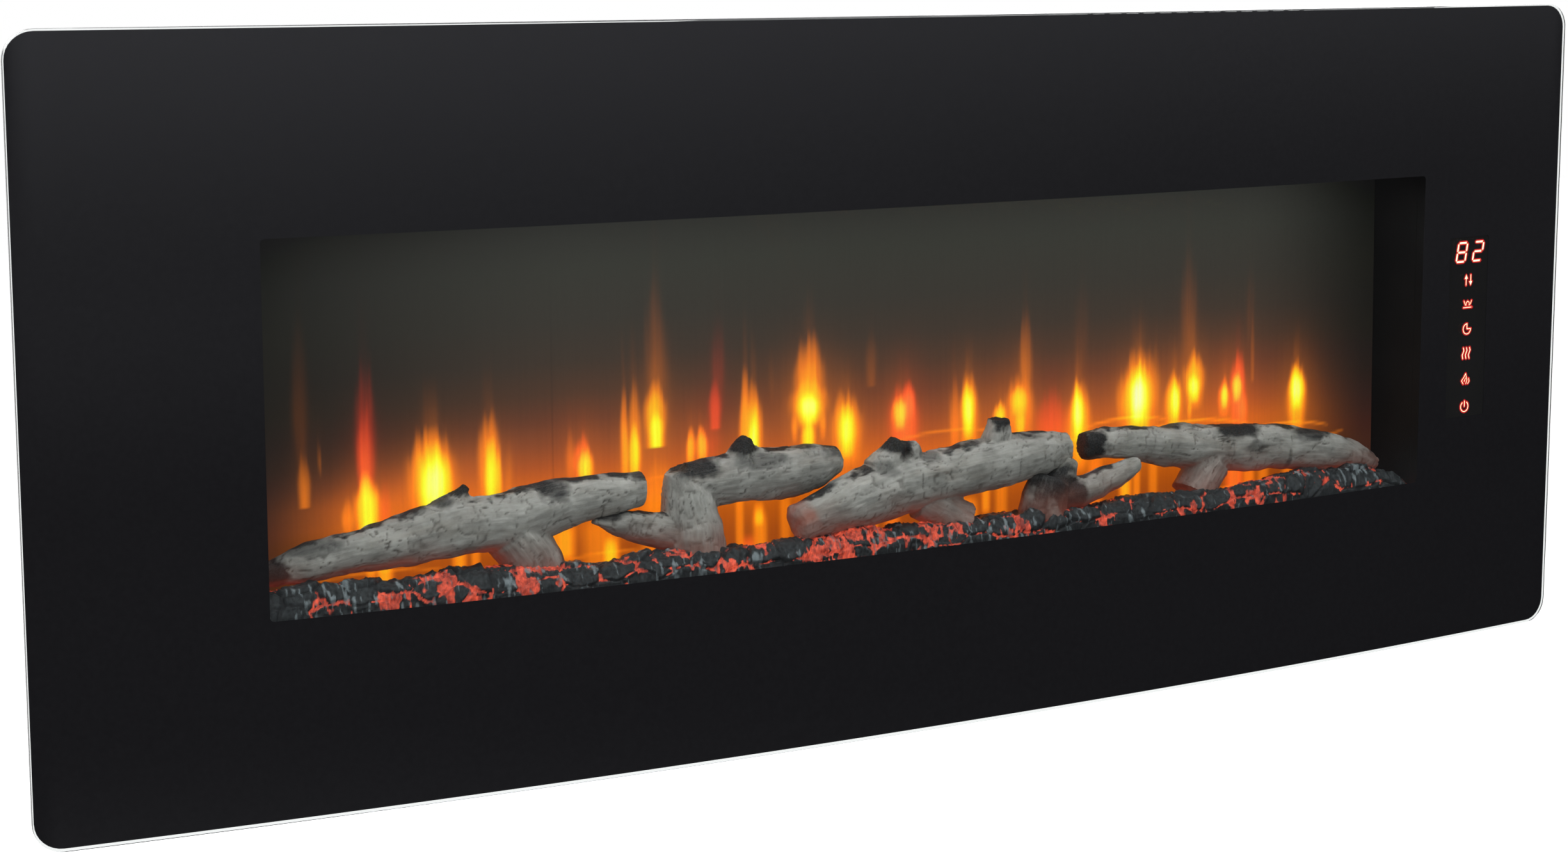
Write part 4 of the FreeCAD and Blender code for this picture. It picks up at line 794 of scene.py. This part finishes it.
def build_log(name, seed):
    """One log: its limbs joined, then bark, ridges, cracks, scorching, painted shade on its tops, and the
    embers' red light painted on its lower parts.
    """
    verts, faces = [], []
    for stations in LOGS[name]:
        limb_tube(stations, verts, faces)
    log = mesh_object(name + "_bark", verts, faces)
    voxel_union(log, BARK_CELL)
    p, n = coords(log), vertex_values(log, "normal")
    along, off, dirs = limb_frame(p, LOGS[name])
    side = np.cross(dirs, (0, 1, 0))
    side /= np.linalg.norm(side, axis=1)[:, None]
    grain = np.column_stack([along, (off * side).sum(1), off[:, 1]])
    wide = fractal(p / 26.0 + 7.3, 3, seed)
    lumps = fractal(stretch(grain, 24.0, 10.0) + 3.1, 3, seed + 3)
    twist = grain + 9.0 * (fractal(p / 22.0, 2, seed + 9)[:, None] - 0.5)
    ridges = ridged(stretch(twist, 30.0, 4.2), 3, seed + 5)
    cross = smooth(0.95, 0.995, ridged(stretch(twist, 7.0, 16.0), 2, seed + 6))
    broken = smooth(0.52, 0.66, fractal(stretch(grain, 16.0, 8.0) + 9.0, 2, seed + 8))
    fine = fractal(stretch(grain, 9.0, 1.6), 3, seed + 12)
    crack = smooth(0.93, 0.995, ridges) * broken
    split = cross * (1 - smooth(0.3, 0.45, broken))
    push = (wide - 0.5) * 6.0 + (lumps - 0.5) * 3.6 + (fine - 0.5) * 0.7 + (ridges - 0.7) * 0.5
    push -= crack * 0.9 + split * 0.7 + 0.3
    set_coords(log, p + n * push[:, None])
    char_and_top_shade = np.zeros(len(p))
    ragged = (fractal(p / np.array([9.0, 9.0, 6.0]), 4, seed + 20) - 0.5) * 1.8
    for x, z, rx, rz, strength in CHARS[name]:
        d = np.hypot((p[:, 0] - x) / rx, (p[:, 2] - z) / rz)
        char_and_top_shade = np.maximum(char_and_top_shade, strength * (1 - smooth(0.45, 1.25, d + ragged * 0.6)))
    # painted shade: faces that turn upward are darkened like the scorched places
    top = smooth(0.8, 1.0, n[:, 2] + (fractal(p / 8.0, 3, seed + 30) - 0.5) * 0.55)
    char_and_top_shade = np.maximum(char_and_top_shade, top * 0.85)
    attribute(log, "char_and_top_shade", np.clip(char_and_top_shade, 0, 1))
    attribute(log, "crack", np.clip(crack + 0.7 * split, 0, 1))
    attribute(log, "grain", grain * 0.001)
    # painted light: the embers' red light on the low parts, the undersides and log_3's sawn end, kept as a
    # vertex value
    low = 1 - smooth(-118, -80, p[:, 2] + (wide - 0.5) * 26)
    under = smooth(0.2, 0.95, -n[:, 2]) * (1 - smooth(-108, -76, p[:, 2]))
    cut = 0.0
    if name == "log_3":  # red light on its sawn left end
        cut = 0.9 * smooth(-66, -75, p[:, 0] + 0.3 * (p[:, 2] + 104) + (wide - 0.5) * 8)
    attribute(log, "painted_ember_light", np.clip(low * 0.85 + under * 0.6 + cut, 0, 1))
    return log


def bark_material():
    """Grey driftwood paint over moulded resin: grain, crevices, scorching, painted shade on the tops, and the
    embers' red light painted on as colour and glow.
    """
    t = Tree("bark")
    grain = t.attr("grain", "Vector")

    def along(scale, detail, roughness=0.55):
        moved = t.node("Mapping", Vector=grain, Scale=scale).outputs[0]
        return t.node("TexNoise", Vector=moved, Scale=1.0, Detail=detail, Roughness=roughness).outputs[0]

    fibres = along((48.0, 420.0, 420.0), 4.0, 0.62)
    brush = along((26.0, 80.0, 80.0), 3.0)
    mottle = t.noise(55.0, 4.0, 0.6)
    speck = t.noise(900.0, 2.0, 0.6)
    tone = t.span(t.blend(fibres, 0.4, mottle, 0.6), 0.34, 0.64)
    colour = t.mix(tone, (0.2, 0.193, 0.18), (0.4, 0.39, 0.37))
    colour = t.mix(t.span(brush, 0.5, 0.72, 0.0, 0.35), colour, (0.19, 0.155, 0.125))
    colour = t.mix(t.span(speck, 0.62, 0.76, 0.0, 0.25), colour, (0.1, 0.095, 0.09))
    crack = t.math("MULTIPLY", t.attr("crack"), t.span(mottle, 0.3, 0.6, 0.35, 0.9))
    colour = t.mix(crack, colour, (0.045, 0.037, 0.03))
    # the scorched colour, also used for the painted shade on the tops
    soot_and_shade = t.mix(t.span(speck, 0.4, 0.6), (0.013, 0.0125, 0.013), (0.032, 0.032, 0.033))
    colour = t.mix(t.span(t.ragged(t.attr("char_and_top_shade"), fibres, 0.7), 0.16, 0.85), colour, soot_and_shade)
    # painted red light from the embers: a red-brown tint on the colour and a faint red glow
    warm = t.math("MULTIPLY", t.attr("painted_ember_light"), t.vary(brush, 0.6, 1.0))
    colour = t.mix(t.math("MULTIPLY", warm, 0.75), colour, (0.17, 0.07, 0.048))
    glow = t.mix(t.math("MULTIPLY", warm, warm), (0.0, 0.0, 0.0), (0.09, 0.012, 0.006))
    return t.paint(Base_Color=colour, Roughness=t.vary(mottle, 0.62, 0.82), Specular_IOR_Level=0.3,
                   Emission_Color=glow, Emission_Strength=1.0,
                   Normal=t.bump(t.blend(fibres, 0.6, speck, 0.25), 0.45, 0.001))


BARK = bark_material()
for order, log_name in enumerate(LOGS):
    finish_piece(build_log(log_name, 40 + 50 * order), BARK, replaces=log_name)


# ---- ember bed ----
FLOOR_Z = (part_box("ember_bed")[0].z - PANEL_Z) * 1000
# The heap's crest along the firebox, as (x, z), and its cross-section, as (y, z).
CREST = [
    (-484, -109), (-450, -107.5), (-420, -109.5), (-389, -111), (-357, -108.5), (-314, -108.5),
    (-297, -111), (-269, -113), (-235, -116), (-201, -111), (-153, -114), (-117, -115.5), (-80, -113),
    (-42, -111), (36, -113), (80, -114), (117, -112), (160, -115), (202, -112.5), (250, -113), (290, -115),
    (320, -112), (350, -109), (382, -107), (420, -108), (446, -110), (468, -117), (484, -128),
]
SECTION = [(-124.6, -138.2), (-124.6, -134), (-124.3, -129), (-122.6, -122), (-118.5, -116), (-112, -112.6),
           (-103, -112.4), (-93, -115.5), (-80, -122), (-68.4, -129.5), (-68.4, -138.2)]
SECTION_TOP = -112.4
CHUNK_X, CHUNK_ROUND = 25.0, 15.0  # usual size of a piece of charcoal, along x and round the heap


def ember_bed():
    """Heaped charcoal: folded chunks with deep clefts, modelled round the heap's cross-section."""
    lo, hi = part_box("ember_bed")
    xs = np.linspace(lo.x * 1000, hi.x * 1000, 900)
    section = np.array(SECTION)
    run = np.concatenate([[0], np.cumsum(np.hypot(*np.diff(section, axis=0).T))])
    at = np.linspace(0, run[-1], 92)
    sy, sz = np.interp(at, run, section[:, 0]), np.interp(at, run, section[:, 1])
    relax(sy, 4)
    relax(sz, 4)
    ty, tz = np.gradient(sy), np.gradient(sz)
    size = np.hypot(ty, tz)
    out_y, out_z = -tz / size, ty / size
    gx, ga = np.meshgrid(xs, at, indexing="ij")
    x, a = gx.ravel(), ga.ravel()
    y, z = np.tile(sy, len(xs)), np.tile(sz, len(xs))
    ny, nz = np.tile(out_y, len(xs)), np.tile(out_z, len(xs))
    crest = np.interp(x, *np.array(CREST).T)
    z = FLOOR_Z + (z - FLOOR_Z) * (crest - FLOOR_Z) / (SECTION_TOP - FLOOR_Z)
    flat = np.zeros(len(x))
    q = np.column_stack([x, a, flat])
    warp = 8.0 * (fractal(q / 14.0, 3, 31) - 0.5)
    first, second, ident = cells((x + warp) / CHUNK_X, (a + warp) / CHUNK_ROUND, 71)
    cleft = 1 - smooth(0.0, 0.2, second - first)
    folds = ridged(np.column_stack([(x + warp) / 9.0, a / 19.0, flat]), 3, 33)
    pits = fractal(q / 3.4, 4, 35)
    depth = 3.0 * (1 - folds) + 3.6 * cleft + 4.2 * (1 - ident) * smooth(0.02, 0.3, second - first)
    depth += 2.4 * (pits - 0.35) - 3.2
    ease = smooth(0, 5, a) * (1 - smooth(run[-1] - 5, run[-1], a))
    ease = ease * (0.35 + 0.65 * smooth(-484, -474, x) * (1 - smooth(476, 484, x)))
    y, z = y - ny * depth * ease, z - nz * depth * ease
    y = np.clip(y, section[0, 0], section[-1, 0])
    z = np.maximum(z, FLOOR_Z)
    rows = len(at)
    index = np.arange(len(x)).reshape(len(xs), rows)
    faces = grid_faces(index).tolist()
    faces += np.stack([index[:-1, -1], index[:-1, 0], index[1:, 0], index[1:, -1]], -1).tolist()
    faces += [index[0].tolist()[::-1], index[-1].tolist()]
    bed = mesh_object("ember_heap", np.column_stack([x, y, z]), faces)
    fix_winding(bed)
    hot = fractal(np.column_stack([(x + warp) / 20.0, a / 15.0, flat]), 3, 91)
    licks = ridged(np.column_stack([(x + 0.5 * warp) / 4.6, a / 12.0, flat]), 3, 93)
    glow = 0.62 * hot + 0.3 * licks + 0.16 * cleft - 0.22 * (folds - 0.7) - 0.1 * smooth(330, 450, x)
    glow += 0.03 * np.exp(-((x + 60) / 190.0) ** 2) - 0.04 * smooth(-330, -420, x) - 0.09 * (ident - 0.5)
    attribute(bed, "glow", smooth(0.6, 0.7, glow))
    ash = fractal(np.column_stack([x / 2.4, a / 9.0, flat]), 3, 97)
    ash += 0.22 * (folds - 0.75) + 0.07 * smooth(360, 470, x) - 0.1 * (fractal(q / 30.0, 2, 98) < 0.45)
    attribute(bed, "ash", smooth(0.55, 0.75, ash))
    attribute(bed, "cleft", cleft)
    return bed


def ember_material():
    """Charcoal with ash on its edges and painted shade in its clefts, red hot where the glow attribute says.
    """
    t = Tree("embers")
    fine = t.noise((420.0, 420.0, 220.0), 4.0, 0.65)
    grit = t.noise(1500.0, 2.0, 0.6)
    coal = t.mix(t.span(fine, 0.35, 0.65), (0.012, 0.0135, 0.0145), (0.038, 0.044, 0.048))
    # painted shade: darker deep in the clefts between chunks
    coal = t.mix(t.math("MULTIPLY", t.attr("cleft"), 0.75), coal, (0.008, 0.008, 0.009))
    ash = t.span(t.ragged(t.attr("ash"), grit, 0.7), 0.4, 1.05)
    surface = t.mix(ash, coal, (0.2, 0.235, 0.255))
    glow = t.span(t.ragged(t.attr("glow"), fine, 0.9), 0.38, 0.86)
    glow = t.math("MULTIPLY", glow, t.span(ash, 0.0, 1.0, 1.0, 0.2))
    surface = t.mix(glow, surface, (0.16, 0.03, 0.02))
    heat = t.noise((190.0, 190.0, 80.0), 3.0, 0.65, (3.0, 1.0, 2.0))
    hot = t.mix(t.span(t.blend(heat, 0.65, fine, 0.35), 0.4, 0.62), (0.1, 0.005, 0.0035), (0.82, 0.1, 0.048))
    return t.paint(Base_Color=surface, Roughness=t.span(ash, 0.0, 1.0, 0.38, 0.65), Emission_Strength=1.0,
                   Emission_Color=t.mix(glow, (0.0, 0.0, 0.0), hot),
                   Normal=t.bump(t.blend(fine, 0.7, grit, 0.3), 0.6, 0.0012))


finish_piece(ember_bed(), ember_material(), replaces="ember_bed")


# ---- lit legends ----
def legend_copy(name, spread, back):
    """A copy of the display's legends, swollen (or slimmed) sideways and set back, both in millimetres."""
    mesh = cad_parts["display_legends"].data.copy()
    obj = bpy.data.objects.new(name, mesh)
    bpy.context.scene.collection.objects.link(obj)
    p = coords(obj)
    keys = np.round(p, 2)
    _, point = np.unique(keys, axis=0, return_inverse=True)
    point = point.ravel()
    n = np.zeros((point.max() + 1, 3))
    for poly in mesh.polygons:
        for v in poly.vertices:
            n[point[v]] += np.array(poly.normal) * math.sqrt(poly.area * 1e6)
    n[:, 1] = 0
    n /= np.maximum(np.linalg.norm(n, axis=1), 1e-9)[:, None]
    p += n[point] * spread
    p[:, 1] += back
    set_coords(obj, p)
    return obj


def lit_print(name, grain, dim, bright, unlit, strength):
    """A glowing print whose colour drifts a little between dim and bright."""
    t = Tree(name)
    glow = t.mix(t.vary(t.noise(grain, 2.0)), dim, bright)
    return t.paint(Base_Color=unlit, Roughness=0.4, Emission_Color=glow, Emission_Strength=strength)


cream = lit_print("legend_glow", 900.0, (1.0, 0.88, 0.5), (1.0, 0.97, 0.66), (0.5, 0.1, 0.05), 1.6)
red = lit_print("legend_halo", 700.0, (0.52, 0.008, 0.01), (0.72, 0.015, 0.018), (0.1, 0.005, 0.004), 1.0)
finish_piece(legend_copy("legend_cores", -0.21, 0.0), cream, replaces="display_legends")
finish_piece(legend_copy("legend_bleed", 0.8, 0.06), red)


# ---- camera, lights and floor ----
def photo_camera():
    """The camera fitted to the photo's edges; yaw and pitch are to the right and down, in radians."""
    yaw, pitch, roll = 0.4718, 0.1298, -0.0010
    spot = (-0.9370, -1.7621, 0.1696)
    ahead = Vector((math.sin(yaw) * math.cos(pitch), math.cos(yaw) * math.cos(pitch), -math.sin(pitch)))
    right = Vector((math.cos(yaw), -math.sin(yaw), 0))
    up = right.cross(ahead)
    turned = right * math.cos(roll) + up * math.sin(roll)
    upright = up * math.cos(roll) - right * math.sin(roll)
    data = bpy.data.cameras.new("photo_camera")
    data.sensor_width, data.sensor_fit = 36.0, "HORIZONTAL"
    data.lens = 59.34
    data.shift_y = -0.10
    data.clip_start, data.clip_end = 0.05, 60.0
    cam = bpy.data.objects.new("photo_camera", data)
    bpy.context.scene.collection.objects.link(cam)
    rows = [(turned[k], upright[k], -ahead[k], spot[k]) for k in range(3)]
    cam.matrix_world = Matrix(rows + [(0, 0, 0, 1)])
    bpy.context.scene.camera = cam


def soft_light(name, spot, target, size, power, glossy=True):
    """A lamp panel of that width and height in metres and power in watts; not glossy: no highlight."""
    data = bpy.data.lights.new(name, "AREA")
    data.shape, data.size, data.size_y = "RECTANGLE", size[0], size[1]
    data.energy = power
    lamp = bpy.data.objects.new(name, data)
    bpy.context.scene.collection.objects.link(lamp)
    lamp.location = spot
    lamp.rotation_euler = (Vector(target) - Vector(spot)).to_track_quat("-Z", "Y").to_euler()
    lamp.visible_glossy = glossy
    lamp.visible_transmission = False
    lamp.visible_camera = False


def studio_world():
    """A white surround behind the object and a dim room in front of it, where the glass front looks."""
    t = Tree("studio", bpy.data.worlds, "OutputWorld")
    bpy.context.scene.world = t.owner
    direction = t.node("SeparateXYZ", Vector=t.coords["Generated"]).outputs
    ray = t.node("LightPath").outputs

    def ramp(axis, lo, hi, out_lo, out_hi):
        """A soft step over one component of the ray's direction."""
        return t.node("MapRange", {"interpolation_type": "SMOOTHSTEP"}, i0=direction[axis], i1=lo, i2=hi,
                      i3=out_lo, i4=out_hi).outputs[0]

    def surround(colour, strength):
        return t.node("Background", Color=colour + (1.0,), Strength=strength).outputs[0]

    walls = t.math("MULTIPLY", ramp(2, -0.3, 0.0, 0.0, 0.12), ramp(0, 0.15, 0.9, 1.0, 0.34))
    ceiling_and_ground = t.math("ADD", ramp(2, 0.02, 0.6, 0.0, 0.5), ramp(2, -0.95, -0.55, 0.3, 0.0))
    white = surround((1.0, 1.0, 1.0), 1.0)
    dim_room = surround((0.94, 0.96, 1.04), t.math("ADD", walls, ceiling_and_ground))
    room = t.choose(ramp(1, -0.1, 0.15, 0.0, 1.0), dim_room, white)
    soft = t.choose(ray["Is Diffuse Ray"], room, surround((1.0, 1.0, 1.0), 0.5))
    t.finish(t.choose(ray["Is Camera Ray"], soft, white))


def studio_floor():
    """A pale floor that only the camera sees; half width and level in metres."""
    half, level = 9.0, -1.1
    corners = [(-half, -half, level), (half, -half, level), (half, half, level), (-half, half, level)]
    mesh = bpy.data.meshes.new("floor")
    mesh.from_pydata(corners, [], [(0, 1, 2, 3)])
    floor = bpy.data.objects.new("floor", mesh)
    bpy.context.scene.collection.objects.link(floor)
    t = Tree("pale_floor")
    pale = t.mix(t.vary(t.noise(3.0)), (0.86, 0.86, 0.86), (0.9, 0.9, 0.9))
    paint = t.paint(Base_Color=pale, Roughness=0.9, Emission_Color=(1.0, 1.0, 1.0), Emission_Strength=0.6)
    paint.cycles.emission_sampling = "NONE"
    mesh.materials.append(paint)
    floor.visible_glossy = floor.visible_transmission = floor.visible_diffuse = False


photo_camera()
studio_world()
studio_floor()
soft_light("key", (-0.9, -1.0, 1.15), (-0.35, -0.12, 0.0), (1.1, 0.7), 6.0, glossy=False)
soft_light("fill", (0.2, -2.8, 0.6), (0, 0, -0.15), (2.2, 1.6), 3, glossy=False)
soft_light("firebox", (0, -0.126, PANEL_Z + 0.118), (0, -0.098, PANEL_Z - 0.08), (0.9, 0.012), 0.7,
           glossy=False)
soft_light("top", (0.0, -0.4, 2.6), (0, 0, -0.15), (3.0, 1.2), 30)
soft_light("rear", (-1.6, 3.0, 1.4), (0, 0, -0.15), (2.4, 1.6), 70)
soft_light("rear_fill", (2.4, 2.4, 0.2), (0, 0, -0.15), (1.6, 1.6), 30)
bpy.context.scene.view_settings.view_transform = "Standard"
